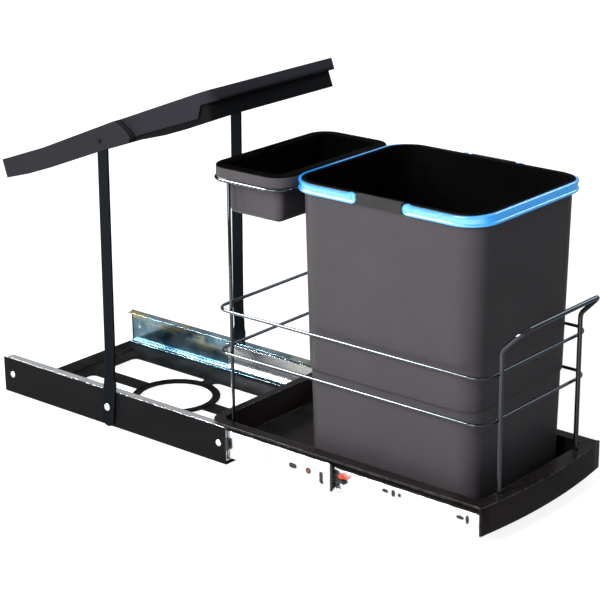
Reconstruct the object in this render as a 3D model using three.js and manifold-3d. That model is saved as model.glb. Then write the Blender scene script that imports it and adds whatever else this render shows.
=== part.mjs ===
// A pull-out waste unit for a kitchen base cabinet: two wall rails on a base plate, ball-bearing
// slides with full extension, a tray with a wire frame, a large and a small bin, and a lid on two
// posts. It is drawn with the tray pulled out. Millimetres, X across, -Y to the front, +Z up.
import * as THREE from 'three';
import { mergeVertices } from 'three/addons/utils/BufferGeometryUtils.js';
import Module from 'manifold-3d';

const wasm = await Module();
wasm.setup();

// ---- driving dimensions ----

const seat = 0.3; // clearance between pieces that rest on or in each other

const unitWidth = 250; // across the outer faces of the rails
const railLength = 408;
const railHeight = 50;
const railSheet = 1.5;
const railFoot = 25; // width of the rail's bottom flange

const plateSheet = 2;
const plateHole = 50; // radius of the round opening in the base plate
const plateRing = 61; // radius of the ring left round that opening
const spokeAcross = 12; // half width of the spoke that runs front to back
const spokeAlong = 9; // half width of the spoke that runs side to side

const travel = 370; // how far the tray pulls out of the rails
const slideHeight = 45;
const slideSheet = 1.3;
const slideMargin = 4; // a shorter member stops this far before the end of the longer one
const middleLength = railLength - 28;
const middleHeight = 36;
const innerLength = railLength - 12;
const innerHeight = 27.2;
const ballDiameter = 4;
const raceDepth = 0.55; // depth of a ball groove in a flange
const raceClearance = 0.15; // between a ball and its groove
const cageLength = 140;
const cageSheet = 0.6;
const ballsPerRow = 5;

const frontStandoff = 18; // tray corner in front of the rails when the tray is pushed in
const trayRearGap = 5; // behind the tray when it is pushed in
const trayFloor = 18.5; // top of the basin's floor
const trayRim = 53.6; // top of the tray
const trayWall = 3;
const trayFlange = 2.6;
const trayBow = 10; // how far the middle of the front panel stands forward
const trayCorner = 25;

const binInset = 15; // rim of a bin inside the rail's outer face
const binWall = 2.2;
const binCorner = 27;
const binStandoff = 22.2; // rim of the big bin behind the tray's front edge
const binGap = 12.9; // between the rims of the two bins
const bigBinHeight = 366.7;
const bigBinFoot = 12.9; // the foot stands this far inside the rim
const smallBinLength = 118;
const smallBinHeight = 61;
const rimSkirt = 12.5;
const smallSkirt = 14;
const bailBand = 3.4; // thickness of a bail
const bailPivotGap = 84; // between the pivots of the two bails
const bailTip = 9; // a bail's end stands this far past its pivot

const frameWire = 4;
const uprightWire = 4.5;
const handleWire = 6;
const lowerRingHeight = 143;
const upperRingHeight = 199;
const frameCorner = 20;
const handleSpread = 162; // between the handle's two legs
const handleBend = 228; // height where the legs lean forward
const handleTop = 256;
const handleReach = 27; // how far the grip stands in front of the legs

const postWidth = 17.5;
const postTab = 21;
const postSheet = 3;
const postPlace = railLength / 2 - 9; // pivot of the lid behind the rails' front ends
const pinDiameter = 6;

const lidTilt = 19.7; // degrees, front up, with the tray pulled out
const lidAboveRim = 2; // pivot above the big bin's rim
const lidSheet = 2;
const lidFront = 200; // from the pivot to the front tip
const lidRear = 193; // from the pivot to the rear edge
const lidWall = 2.2;
const linerWall = 2.1;
const linerRibs = 4; // cross ribs under the lid
const linerRibLow = 5; // their lower edge above the pivot
const linerReach = 12; // the liner's walls reach this far below the pivot
const cheekWall = 2.5;
const bailToLiner = 1.7; // running clearance between a bail and the lid's liner

// ---- places worked out from the driving dimensions ----

const railFace = unitWidth / 2;
const railInside = railFace - railSheet;
const slideCentre = railHeight - slideHeight / 2;
const outerEnd = railLength - slideMargin;
const trayRear = railLength - trayRearGap - travel;
const trayFront = -frontStandoff - travel;
const middleRear = outerEnd - slideMargin - travel / 2;
const middleFront = middleRear - middleLength;
const innerFront = trayFront + trayWall + seat;
const innerRear = innerFront + innerLength;

const binHalf = railFace - binInset;
const bigRimFront = trayFront + binStandoff;
const bigBinLength = trayRear - bigRimFront - binGap - smallBinLength;
const bigCentre = bigRimFront + bigBinLength / 2;
const bigRimTop = trayFloor + seat + bigBinHeight;
const smallCentre = trayRear - smallBinLength / 2;
const smallRimTop = bigRimTop - 4.5;
const smallRingHeight = smallRimTop - smallSkirt - seat - frameWire / 2;
const ringFront = trayFront + 12;
const ringRear = trayRear - 8.5;
const uprightPlace = ringRear - 22.5;
const handlePlace = ringFront - frameWire / 2 - seat - handleWire / 2;
const gripPlace = handlePlace - handleReach;
const bailOuter = binHalf + seat + bailBand;
const bailPivotHeight = bigRimTop - rimSkirt / 2 - seat;

const linerOuter = bailOuter + bailToLiner + linerWall;
const lidSide = linerOuter + seat + lidWall;
const postLow = railFace + seat;
const postHigh = postLow - 1.9;
const cheekInside = postHigh + postSheet + 0.6;
const cheekFace = cheekInside + cheekWall;
const pivotHeight = bigRimTop + lidAboveRim;
const fastenerHeight = slideCentre;
const fastenerPlaces = [11, railLength - 17]; // rivets from the front end of the rail

const boreDepth = 5.7; // the handle's legs stand this deep in the tray

// ---- finishes ----

const finishes = {
  rail: { color: 0x242426, roughness: 0.42, metalness: 0.35 },
  zinc: { color: 0xc9ccd0, roughness: 0.28, metalness: 0.95 },
  bin: { color: 0x5e5c60, roughness: 0.48, metalness: 0 },
  bail: { color: 0x1e96f0, roughness: 0.4, metalness: 0 },
  tray: { color: 0x1d1916, roughness: 0.25, metalness: 0 },
  wire: { color: 0x0e0f12, roughness: 0.3, metalness: 0.1 },
  lid: { color: 0x3c3c42, roughness: 0.45, metalness: 0 },
  liner: { color: 0x0d0d0f, roughness: 0.55, metalness: 0 },
  post: { color: 0x161617, roughness: 0.4, metalness: 0.3 },
  lever: { color: 0xe8491d, roughness: 0.45, metalness: 0 },
  rubber: { color: 0x121213, roughness: 0.7, metalness: 0 },
};

// ---- solids ----

// A closed geometry as a solid for joining and cutting.
function solidOf(geometry) {
  const bare = geometry.clone();
  bare.deleteAttribute('normal');
  bare.deleteAttribute('uv');
  const merged = mergeVertices(bare, 1e-4);
  const corners = merged.index.array;
  const kept = [];
  for (let i = 0; i < corners.length; i += 3) {
    const [a, b, c] = [corners[i], corners[i + 1], corners[i + 2]];
    if (a !== b && b !== c && c !== a) {
      kept.push(a, b, c);
    }
  }
  return new wasm.Manifold(new wasm.Mesh({
    numProp: 3,
    vertProperties: new Float32Array(merged.attributes.position.array),
    triVerts: new Uint32Array(kept),
  }));
}

function geometryOf(solid) {
  const mesh = solid.getMesh();
  const geometry = new THREE.BufferGeometry();
  geometry.setAttribute('position', new THREE.BufferAttribute(mesh.vertProperties, 3));
  geometry.setIndex(new THREE.BufferAttribute(mesh.triVerts, 1));
  geometry.computeVertexNormals();
  return geometry;
}

// The first geometry with all of `more` joined to it.
function join(first, ...more) {
  return geometryOf(more.reduce((whole, part) => whole.add(solidOf(part)), solidOf(first)));
}

// The first geometry with all of `tools` cut out of it.
function cut(first, ...tools) {
  return geometryOf(tools.reduce((rest, tool) => rest.subtract(solidOf(tool)), solidOf(first)));
}

// What the two geometries share.
function common(first, second) {
  return geometryOf(solidOf(first).intersect(solidOf(second)));
}

// The same piece for the other side of the unit.
function mirrored(geometry) {
  const copy = geometry.index ? geometry.clone() : mergeVertices(geometry);
  copy.scale(-1, 1, 1);
  const corners = copy.index.array;
  for (let i = 0; i < corners.length; i += 3) {
    [corners[i], corners[i + 1]] = [corners[i + 1], corners[i]];
  }
  copy.computeVertexNormals();
  return copy;
}

// ---- outlines ----

function outlineOf(points) {
  return new THREE.Shape(points.map(([x, y]) => new THREE.Vector2(x, y)));
}

function roundedOutline(x0, x1, y0, y1, radius) {
  const shape = new THREE.Shape();
  shape.absarc(x1 - radius, y0 + radius, radius, -Math.PI / 2, 0, false);
  shape.absarc(x1 - radius, y1 - radius, radius, 0, Math.PI / 2, false);
  shape.absarc(x0 + radius, y1 - radius, radius, Math.PI / 2, Math.PI, false);
  shape.absarc(x0 + radius, y0 + radius, radius, Math.PI, Math.PI * 1.5, false);
  return shape;
}

function circleOutline(x, y, radius) {
  const shape = new THREE.Shape();
  shape.absarc(x, y, radius, 0, Math.PI * 2, false);
  return shape;
}

// ---- profiles pushed along an axis ----

const alongX = new THREE.Matrix4().makeBasis(
  new THREE.Vector3(0, 1, 0),
  new THREE.Vector3(0, 0, 1),
  new THREE.Vector3(1, 0, 0),
);
const alongY = new THREE.Matrix4().makeBasis(
  new THREE.Vector3(1, 0, 0),
  new THREE.Vector3(0, 0, 1),
  new THREE.Vector3(0, -1, 0),
);

function extruded(shape, depth, arcSteps) {
  const options = { depth, bevelEnabled: false, curveSegments: arcSteps };
  return new THREE.ExtrudeGeometry(shape, options);
}

// An outline drawn in X and Y, between two heights.
function plateZ(shape, z0, z1, arcSteps = 3) {
  return extruded(shape, z1 - z0, arcSteps).translate(0, 0, z0);
}

// An outline drawn in Y and Z, between two places across the unit.
function plateX(shape, x0, x1, arcSteps = 3) {
  return extruded(shape, x1 - x0, arcSteps).applyMatrix4(alongX).translate(x0, 0, 0);
}

// An outline drawn in X and Z, between two places along the unit.
function plateY(shape, y0, y1, arcSteps = 3) {
  return extruded(shape, y1 - y0, arcSteps).applyMatrix4(alongY).translate(0, y1, 0);
}

function block(x0, x1, y0, y1, z0, z1) {
  const geometry = new THREE.BoxGeometry(x1 - x0, y1 - y0, z1 - z0);
  return geometry.translate((x0 + x1) / 2, (y0 + y1) / 2, (z0 + z1) / 2);
}

function rodX(x0, x1, y, z, radius, sides = 12) {
  const geometry = new THREE.CylinderGeometry(radius, radius, x1 - x0, sides);
  return geometry.rotateZ(-Math.PI / 2).translate((x0 + x1) / 2, y, z);
}

function rodZ(x, y, z0, z1, radius, sides = 12) {
  const geometry = new THREE.CylinderGeometry(radius, radius, z1 - z0, sides);
  return geometry.rotateX(Math.PI / 2).translate(x, y, (z0 + z1) / 2);
}

// ---- forms that run round a rounded rectangle ----

const cornerSteps = 5;

// The rounded rectangle `loop`, moved outwards by `out`, as points in X and Y.
function loopPoints(loop, out) {
  const points = [];
  const centres = [[1, -1], [1, 1], [-1, 1], [-1, -1]];
  centres.forEach(([sideX, sideY], quarter) => {
    for (let step = 0; step <= cornerSteps; step += 1) {
      const angle = (quarter - 1 + step / cornerSteps) * (Math.PI / 2);
      points.push([
        sideX * (loop.halfX - loop.corner) + (loop.corner + out) * Math.cos(angle),
        loop.y + sideY * (loop.halfY - loop.corner) + (loop.corner + out) * Math.sin(angle),
      ]);
    }
  });
  return points;
}

// A surface through copies of the loop: each profile entry is [outward offset, height]. A closed
// profile makes a ring, and an open one is closed by a flat face at its first and last entries.
function loopLoft(loop, profile, closed) {
  const count = loopPoints(loop, 0).length;
  const positions = [];
  const corners = [];
  for (const [out, z] of profile) {
    for (const [x, y] of loopPoints(loop, out)) {
      positions.push(x, y, z);
    }
  }
  const rows = profile.length;
  const spans = closed ? rows : rows - 1;
  for (let row = 0; row < spans; row += 1) {
    const next = (row + 1) % rows;
    for (let i = 0; i < count; i += 1) {
      const j = (i + 1) % count;
      const [a, b] = [row * count + i, row * count + j];
      const [c, d] = [next * count + j, next * count + i];
      corners.push(a, b, c, a, c, d);
    }
  }
  if (!closed) {
    const lowest = positions.length / 3;
    positions.push(0, loop.y, profile[0][1]);
    positions.push(0, loop.y, profile[rows - 1][1]);
    for (let i = 0; i < count; i += 1) {
      const j = (i + 1) % count;
      const last = (rows - 1) * count;
      corners.push(lowest, j, i);
      corners.push(lowest + 1, last + i, last + j);
    }
  }
  const geometry = new THREE.BufferGeometry();
  geometry.setAttribute('position', new THREE.Float32BufferAttribute(positions, 3));
  geometry.setIndex(corners);
  geometry.computeVertexNormals();
  return geometry;
}

// A wire bent into a closed rounded rectangle.
function wireLoop(loop, z, wire, sides = 8) {
  const profile = [];
  for (let i = 0; i < sides; i += 1) {
    const angle = ((i + 0.5) / sides) * Math.PI * 2;
    const reach = wire / 2 / Math.cos(Math.PI / sides);
    profile.push([reach * Math.cos(angle), z + reach * Math.sin(angle)]);
  }
  return loopLoft(loop, profile, true);
}

// ---- a bent wire ----

// A path through given stations, one station for each step of the extrusion.
class StationPath extends THREE.Curve {
  constructor(stations) {
    super();
    this.stations = stations;
    this.steps = stations.length - 1;
  }

  getPointAt(share, target = new THREE.Vector3()) {
    return target.copy(this.stations[Math.round(share * this.steps)]);
  }

  getTangentAt(share, target = new THREE.Vector3()) {
    const i = Math.round(share * this.steps);
    const before = this.stations[Math.max(i - 1, 0)];
    const after = this.stations[Math.min(i + 1, this.steps)];
    const here = this.stations[i];
    const inward = here.clone().sub(before).normalize();
    const outward = after.clone().sub(here).normalize();
    return target.copy(inward).add(outward).normalize();
  }
}

// Straight stretches between `corners`, joined by bends of the given radius.
function bentWire(corners, radius, wire, bendSteps = 5, sides = 8) {
  const stations = [corners[0]];
  for (let i = 1; i < corners.length - 1; i += 1) {
    const back = corners[i - 1].clone().sub(corners[i]).normalize();
    const on = corners[i + 1].clone().sub(corners[i]).normalize();
    const half = back.angleTo(on) / 2;
    const middle = back.clone().add(on).normalize();
    const centre = corners[i].clone().addScaledVector(middle, radius / Math.sin(half));
    const start = corners[i].clone().addScaledVector(back, radius / Math.tan(half));
    const axis = new THREE.Vector3().crossVectors(on, back).normalize();
    const turn = Math.PI - 2 * half;
    for (let step = 0; step <= bendSteps; step += 1) {
      const arm = start.clone().sub(centre);
      arm.applyAxisAngle(axis, (turn * step) / bendSteps);
      stations.push(centre.clone().add(arm));
    }
  }
  stations.push(corners[corners.length - 1]);
  const section = [];
  for (let i = 0; i < sides; i += 1) {
    const angle = ((i + 0.5) / sides) * Math.PI * 2;
    section.push([Math.cos(angle) * wire / 2, Math.sin(angle) * wire / 2]);
  }
  const path = new StationPath(stations);
  const options = { steps: path.steps, extrudePath: path };
  return new THREE.ExtrudeGeometry(outlineOf(section), options);
}

// ---- the assembly ----

const unit = new THREE.Group();

function addPiece(name, geometry, finish, parent = unit) {
  const mesh = new THREE.Mesh(geometry, new THREE.MeshStandardMaterial(finishes[finish]));
  mesh.name = name;
  parent.add(mesh);
}

// Makes the right-hand piece and its mirror image.
function addPair(name, geometry, finish) {
  addPiece(`${name}_right`, geometry, finish);
  addPiece(`${name}_left`, mirrored(geometry), finish);
}

// ---- base plate ----

function basePlate() {
  const half = railInside - seat;
  const bottom = railSheet + seat;
  const top = bottom + plateSheet;
  const centreY = railLength / 2;
  const shape = roundedOutline(-half, half, 1, railLength - 1, 4);
  const windowOuter = plateRing + 11;
  const windowEnd = railLength / 2 - 56;
  const holes = [plateZ(circleOutline(0, centreY, plateHole), bottom - 1, top + 1, 12)];
  const ring = plateZ(circleOutline(0, centreY, plateRing), bottom - 2, top + 2, 16);
  for (const sideX of [-1, 1]) {
    for (const sideY of [-1, 1]) {
      const xs = [sideX * spokeAcross, sideX * windowOuter].sort((a, b) => a - b);
      const ys = [sideY * spokeAlong, sideY * windowEnd].sort((a, b) => a - b);
      const opening = roundedOutline(xs[0], xs[1], centreY + ys[0], centreY + ys[1], 8);
      holes.push(cut(plateZ(opening, bottom - 1, top + 1), ring));
    }
  }
  const ridges = [
    block(-half + 30, half - 30, railLength - 32, railLength - 28, top - 0.5, top + 1.2),
    block(-half + 30, half - 30, 28, 32, top - 0.5, top + 1.2),
    cut(
      plateZ(circleOutline(0, centreY, plateRing - 1), top - 0.5, top + 1.2, 12),
      plateZ(circleOutline(0, centreY, plateRing - 3.5), top - 2, top + 2, 12),
    ),
  ];
  return join(cut(plateZ(shape, bottom, top), ...holes), ...ridges);
}

addPiece('base_plate', basePlate(), 'rail');

// ---- rails ----

function rail() {
  const bend = 2;
  const shape = new THREE.Shape();
  shape.moveTo(railFace, railHeight);
  shape.lineTo(railInside, railHeight);
  shape.lineTo(railInside, railSheet);
  shape.lineTo(railFace - railFoot, railSheet);
  shape.lineTo(railFace - railFoot, 0);
  shape.lineTo(railFace - bend, 0);
  shape.absarc(railFace - bend, bend, bend, -Math.PI / 2, 0, false);
  const bores = [...fastenerPlaces, postPlace + 10].map((y) => (
    rodX(railInside - 5, railFace + 5, y, fastenerHeight, 2.8)
  ));
  return cut(plateY(shape, 0, railLength), ...bores);
}

addPair('rail', rail(), 'rail');

// A black clip on the front end of the rail's wall.
const clipOutline = roundedOutline(-seat - 4.2, -seat, 20, 35, 1.8);
addPair('rail_clip', plateX(clipOutline, railInside - 0.5, railFace), 'rubber');

// ---- ball-bearing slides ----

// Depths into the slide are measured from the rail's inside face towards the tray.
const slideGap = ballDiameter + 2 * raceClearance - 2 * raceDepth; // between facing flanges
const outerWeb = seat;
const middleWeb = outerWeb + slideSheet + 1.4;
const innerLip = middleWeb + slideSheet + 1.1;
const slideDepth = 12;
const outerRace = middleWeb + 3;
const innerRace = outerRace + 3.2;

// A groove across a flange face, cut along the whole member.
function race(depth, height, y0, y1) {
  const radius = ballDiameter / 2 + raceClearance;
  const shape = new THREE.Shape();
  shape.absarc(railInside - depth, height, radius, 0, Math.PI * 2, false);
  return plateY(shape, y0 - 1, y1 + 1, 5);
}

// A channel with its web at depth `web` and its flanges reaching to depth `lip`.
function channel(web, lip, height, y0, y1) {
  const out = Math.sign(lip - web);
  const [low, high] = [slideCentre - height / 2, slideCentre + height / 2];
  const across = (depth) => railInside - depth;
  const inside = web + out * slideSheet;
  return plateY(outlineOf([
    [across(web), low],
    [across(lip), low],
    [across(lip), low + slideSheet],
    [across(inside), low + slideSheet],
    [across(inside), high - slideSheet],
    [across(lip), high - slideSheet],
    [across(lip), high],
    [across(web), high],
  ]), y0, y1);
}

// The four grooves of one ball row pair: above and below, at the given distance from the centre.
function racePair(depth, distance, y0, y1) {
  return [1, -1].map((side) => race(depth, slideCentre + side * distance, y0, y1));
}

const outerBallRow = middleHeight / 2 + slideGap / 2;
const innerBallRow = innerHeight / 2 + slideGap / 2;

function slideOuter() {
  const holes = [...fastenerPlaces, postPlace + 10].map((y) => (
    rodX(railInside - 5, railInside + 1, y, fastenerHeight, 2.8)
  ));
  const body = channel(outerWeb, slideDepth, slideHeight, 0, outerEnd);
  return cut(body, ...holes, ...racePair(outerRace, outerBallRow, 0, outerEnd));
}

function slideMiddle() {
  const hole = (y, z, radius) => rodX(railInside - 8, railInside - 1, y, z, radius);
  const body = channel(middleWeb, slideDepth - 0.8, middleHeight, middleFront, middleRear);
  return cut(
    body,
    hole(middleFront + 58, slideCentre, 3),
    hole(middleFront + 33.5, slideCentre, 3),
    hole(middleFront + 14.3, slideCentre, 2.2),
    hole(middleFront + 12, slideCentre - 9.5, 2),
    hole(middleRear - 30, slideCentre, 3),
    ...racePair(outerRace, outerBallRow, middleFront, middleRear),
    ...racePair(innerRace, innerBallRow, middleFront, middleRear),
  );
}

const leverPlace = middleFront - 15.5;

function slideInner() {
  const hole = (y, z, radius) => rodX(railInside - 14, railInside - 9, y, z, radius);
  const body = channel(slideDepth, innerLip, innerHeight, innerFront, innerRear);
  return cut(
    body,
    hole(innerFront + 142, slideCentre + 2.5, 2.6),
    hole(innerFront + 130, slideCentre + 2.5, 2.2),
    hole(innerFront + 121, slideCentre + 2.5, 2.2),
    hole(innerFront + 34, slideCentre, 2.6),
    hole(innerFront + 24, slideCentre, 2.6),
    hole(leverPlace, slideCentre, 2.2),
    ...racePair(innerRace, innerBallRow, innerFront, innerRear),
  );
}

// A strip that bends round the inner of two members and holds their two rows of balls.
function ballCage(web, raceAt, row, overlapFront, overlapRear) {
  const centre = (overlapFront + overlapRear) / 2;
  const [y0, y1] = [centre - cageLength / 2, centre + cageLength / 2];
  const lip = raceAt + 2;
  const across = (depth) => railInside - depth;
  const reach = row + cageSheet / 2;
  const strip = plateY(outlineOf([
    [across(web), slideCentre - reach],
    [across(lip), slideCentre - reach],
    [across(lip), slideCentre - reach + cageSheet],
    [across(web + cageSheet), slideCentre - reach + cageSheet],
    [across(web + cageSheet), slideCentre + reach - cageSheet],
    [across(lip), slideCentre + reach - cageSheet],
    [across(lip), slideCentre + reach],
    [across(web), slideCentre + reach],
  ]), y0, y1);
  const balls = [];
  for (let i = 0; i < ballsPerRow; i += 1) {
    const y = y0 + ((i + 0.5) / ballsPerRow) * cageLength;
    for (const side of [-1, 1]) {
      const ball = new THREE.SphereGeometry(ballDiameter / 2, 6, 4);
      balls.push(ball.translate(across(raceAt), y, slideCentre + side * row));
    }
  }
  return join(strip, ...balls);
}

const outerCageWeb = outerWeb + slideSheet + 0.4;
const innerCageWeb = middleWeb + slideSheet + seat;

addPair('slide_outer', slideOuter(), 'zinc');
addPair('slide_middle', slideMiddle(), 'zinc');
addPair('slide_inner', slideInner(), 'zinc');
addPair('cage_outer', ballCage(outerCageWeb, outerRace, outerBallRow, 0, middleRear), 'zinc');
addPair(
  'cage_inner',
  ballCage(innerCageWeb, innerRace, innerBallRow, middleFront, innerRear),
  'zinc',
);

// A black stop on the front end of the middle member's web.
const stopReach = middleHeight / 2 - 0.5;
const stopOutline = roundedOutline(
  middleFront - seat - 3,
  middleFront - seat,
  slideCentre - stopReach,
  slideCentre + stopReach,
  1.4,
);
addPair(
  'middle_stop',
  plateX(stopOutline, railInside - middleWeb - slideSheet - 0.2, railInside - middleWeb + 0.6),
  'rubber',
);

// The lever inside the inner member that frees it from the middle one, on a stub of its own.
function releaseLever() {
  const near = railInside - innerLip - 0.4;
  const far = railInside - slideDepth + slideSheet + seat;
  const arm = outlineOf([
    [leverPlace - 14, slideCentre - 6],
    [leverPlace - 3, slideCentre - 6.5],
    [leverPlace + 6, slideCentre - 4],
    [leverPlace + 9, slideCentre + 3.5],
    [leverPlace + 8, slideCentre + 7],
    [leverPlace - 6, slideCentre + 7.5],
    [leverPlace - 9, slideCentre + 4],
    [leverPlace - 14, slideCentre + 1],
  ]);
  const stub = rodX(far - 1.2, far + 0.5, leverPlace, slideCentre, 1.9);
  return join(plateX(arm, far, near), stub);
}

addPair('release_lever', releaseLever(), 'lever');

// ---- rivets, posts and pins ----

// A dome-headed fastener along X: its head sits outside at `face`, its shank ends at `end`.
function fastener(face, end, y, z, headRadius, headHeight, shank) {
  const length = face - end;
  const dome = Math.min(headHeight * 0.6, headRadius * 0.3);
  const profile = [
    [0, -length],
    [shank, -length],
    [shank, 0],
    [headRadius, 0],
    [headRadius, headHeight - dome],
    [headRadius - 2 * dome, headHeight],
    [0, headHeight],
  ].map(([radius, height]) => new THREE.Vector2(radius, height));
  const turned = new THREE.LatheGeometry(profile, 14).rotateZ(-Math.PI / 2);
  return geometryOf(solidOf(turned.translate(face, y, z)));
}

const shankEnd = railInside - outerWeb - slideSheet;
addPair(
  'rivet_front',
  fastener(railFace, shankEnd, fastenerPlaces[0], fastenerHeight, 4.5, 1.2, 2.5),
  'zinc',
);
addPair(
  'rivet_rear',
  fastener(railFace, shankEnd, fastenerPlaces[1], fastenerHeight, 4.5, 1.2, 2.5),
  'zinc',
);

// A strip with a wide foot on the rail and a joggle that brings its upper part inwards.
function lidPost() {
  const footCentre = [postPlace + 10, 11];
  const tabTop = 62;
  const tabLean = postPlace + 4;
  const halfTab = postTab / 2;
  const half = postWidth / 2;
  const face = new THREE.Shape();
  face.absarc(footCentre[0], footCentre[1], halfTab, Math.PI, Math.PI * 2, false);
  face.lineTo(tabLean + halfTab, tabTop);
  face.lineTo(tabLean + half, tabTop + 8);
  face.lineTo(postPlace + half, pivotHeight);
  face.absarc(postPlace, pivotHeight, half, 0, Math.PI, false);
  face.lineTo(tabLean - half, tabTop + 8);
  face.lineTo(tabLean - halfTab, tabTop);
  const joggleLow = railHeight + 25;
  const joggleHigh = railHeight + 50;
  const edge = outlineOf([
    [postLow, -1],
    [postLow + postSheet, -1],
    [postLow + postSheet, joggleLow],
    [postHigh + postSheet, joggleHigh],
    [postHigh + postSheet, pivotHeight + 20],
    [postHigh, pivotHeight + 20],
    [postHigh, joggleHigh],
    [postLow, joggleLow],
  ]);
  const strip = plateY(edge, postPlace - 30, postPlace + 40);
  return cut(
    common(strip, plateX(face, postHigh - 5, postLow + 10, 4)),
    rodX(postLow - 5, postLow + 10, postPlace + 10, fastenerHeight, 2.8),
    rodX(postHigh - 5, postHigh + 10, postPlace, pivotHeight, pinDiameter / 2 + seat),
  );
}

addPair('post', lidPost(), 'post');
const boltHead = cheekFace - postLow - postSheet;
addPair(
  'post_bolt',
  fastener(postLow + postSheet, shankEnd, postPlace + 10, fastenerHeight, 5, boltHead, 2.5),
  'zinc',
);

// The pin through a post and a cheek of the lid, with its head inside.
function lidPin() {
  const headEnd = postHigh - seat;
  return join(
    rodX(headEnd - 0.6, cheekFace - 0.2, postPlace, pivotHeight, pinDiameter / 2, 16),
    rodX(headEnd - 1.2, headEnd, postPlace, pivotHeight, pinDiameter / 2 + 2, 16),
  );
}

addPair('lid_pin', lidPin(), 'zinc');

// ---- tray ----

const basinOuter = railInside - slideDepth - seat;
const basinInner = basinOuter - trayWall;

// The bowed front edge through both front corners: an arc with its middle `trayBow` forward.
function bowedOutline(half, rear, front, bow, corner) {
  const radius = (half * half + bow * bow) / (2 * bow);
  const swing = Math.asin(half / radius);
  const shape = new THREE.Shape();
  shape.absarc(0, front - bow + radius, radius, -Math.PI / 2 - swing, -Math.PI / 2 + swing, false);
  shape.absarc(half - corner, rear - corner, corner, 0, Math.PI / 2, false);
  shape.absarc(corner - half, rear - corner, corner, Math.PI / 2, Math.PI, false);
  return shape;
}

function tray() {
  const underside = trayFloor - trayFlange;
  const basinFront = trayFront + 12;
  const basinRear = trayRear - 9;
  const flange = bowedOutline(railInside, trayRear, trayFront, trayBow, trayCorner);
  const panel = bowedOutline(railFace, trayFront + trayWall, trayFront, trayBow, 1);
  const basin = roundedOutline(-basinOuter, basinOuter, trayFront, basinRear, trayCorner - 9);
  const hollow = roundedOutline(
    -basinInner,
    basinInner,
    basinFront,
    basinRear - trayWall,
    trayCorner - 12,
  );
  const ridge = { halfX: 100.5, halfY: bigBinLength / 2 - 9.5, corner: 24, y: bigCentre };
  const ridgeProfile = [[-1, trayFloor - 1], [1, trayFloor - 1], [0.6, trayFloor + 2]];
  const bosses = [-1, 1].map((side) => (
    rodZ(side * uprightCentre, uprightPlace, trayFloor - 1, trayFloor + 11, 5, 12)
  ));
  const ribs = [];
  for (let i = 1; i <= 5; i += 1) {
    const y = trayFront + (i / 6) * (trayRear - trayFront);
    ribs.push(block(-basinInner + 12, basinInner - 12, y - 1, y + 1, underside - 3, underside + 1));
  }
  for (const x of [-60, 0, 60]) {
    ribs.push(block(x - 1, x + 1, trayFront + 20, basinRear - 20, underside - 3, underside + 1));
  }
  const sockets = [-1, 1].map((side) => (
    rodZ(
      side * (handleSpread / 2),
      handlePlace,
      trayRim - boreDepth - seat - 2,
      trayRim + 5,
      handleWire / 2 + seat,
      12,
    )
  ));
  const bossBores = [-1, 1].map((side) => (
    rodZ(
      side * uprightCentre,
      uprightPlace,
      trayFloor + 2 - seat,
      trayFloor + 20,
      uprightWire / 2 + seat,
    )
  ));
  const shell = cut(
    join(
      plateZ(flange, trayRim - trayFlange, trayRim, 8),
      plateZ(basin, underside, trayRim - 0.5, 4),
      plateZ(panel, trayFloor, trayRim, 8),
      ...ribs,
    ),
    plateZ(hollow, trayFloor, trayRim + 5, 4),
  );
  return cut(
    join(shell, loopLoft(ridge, ridgeProfile, true), ...bosses),
    ...sockets,
    ...bossBores,
  );
}

// ---- wire frame ----

const uprightCentre = binHalf - frameWire / 2 - seat - uprightWire / 2;
const frameLoop = {
  halfX: binHalf,
  halfY: (ringRear - ringFront) / 2,
  corner: frameCorner,
  y: (ringRear + ringFront) / 2,
};
const smallLoop = {
  halfX: binHalf,
  halfY: smallBinLength / 2,
  corner: binCorner,
  y: smallCentre,
};

addPiece('tray', tray(), 'tray');
addPiece('ring_lower', wireLoop(frameLoop, lowerRingHeight, frameWire), 'wire');
addPiece('ring_upper', wireLoop(frameLoop, upperRingHeight, frameWire), 'wire');
addPiece('ring_small_bin', wireLoop(smallLoop, smallRingHeight, frameWire), 'wire');
addPair(
  'upright',
  rodZ(
    uprightCentre,
    uprightPlace,
    trayFloor + 2,
    smallRingHeight + frameWire / 2 - 0.2,
    uprightWire / 2,
    10,
  ),
  'wire',
);

function handle() {
  const half = handleSpread / 2;
  const corner = (x, y, z) => new THREE.Vector3(x, y, z);
  const foot = trayRim - boreDepth - 2;
  return bentWire([
    corner(-half, handlePlace, foot),
    corner(-half, handlePlace, handleBend),
    corner(-half, gripPlace, handleTop),
    corner(half, gripPlace, handleTop),
    corner(half, handlePlace, handleBend),
    corner(half, handlePlace, foot),
  ], 14, handleWire);
}

addPiece('handle', handle(), 'wire');

// ---- bins ----

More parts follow.
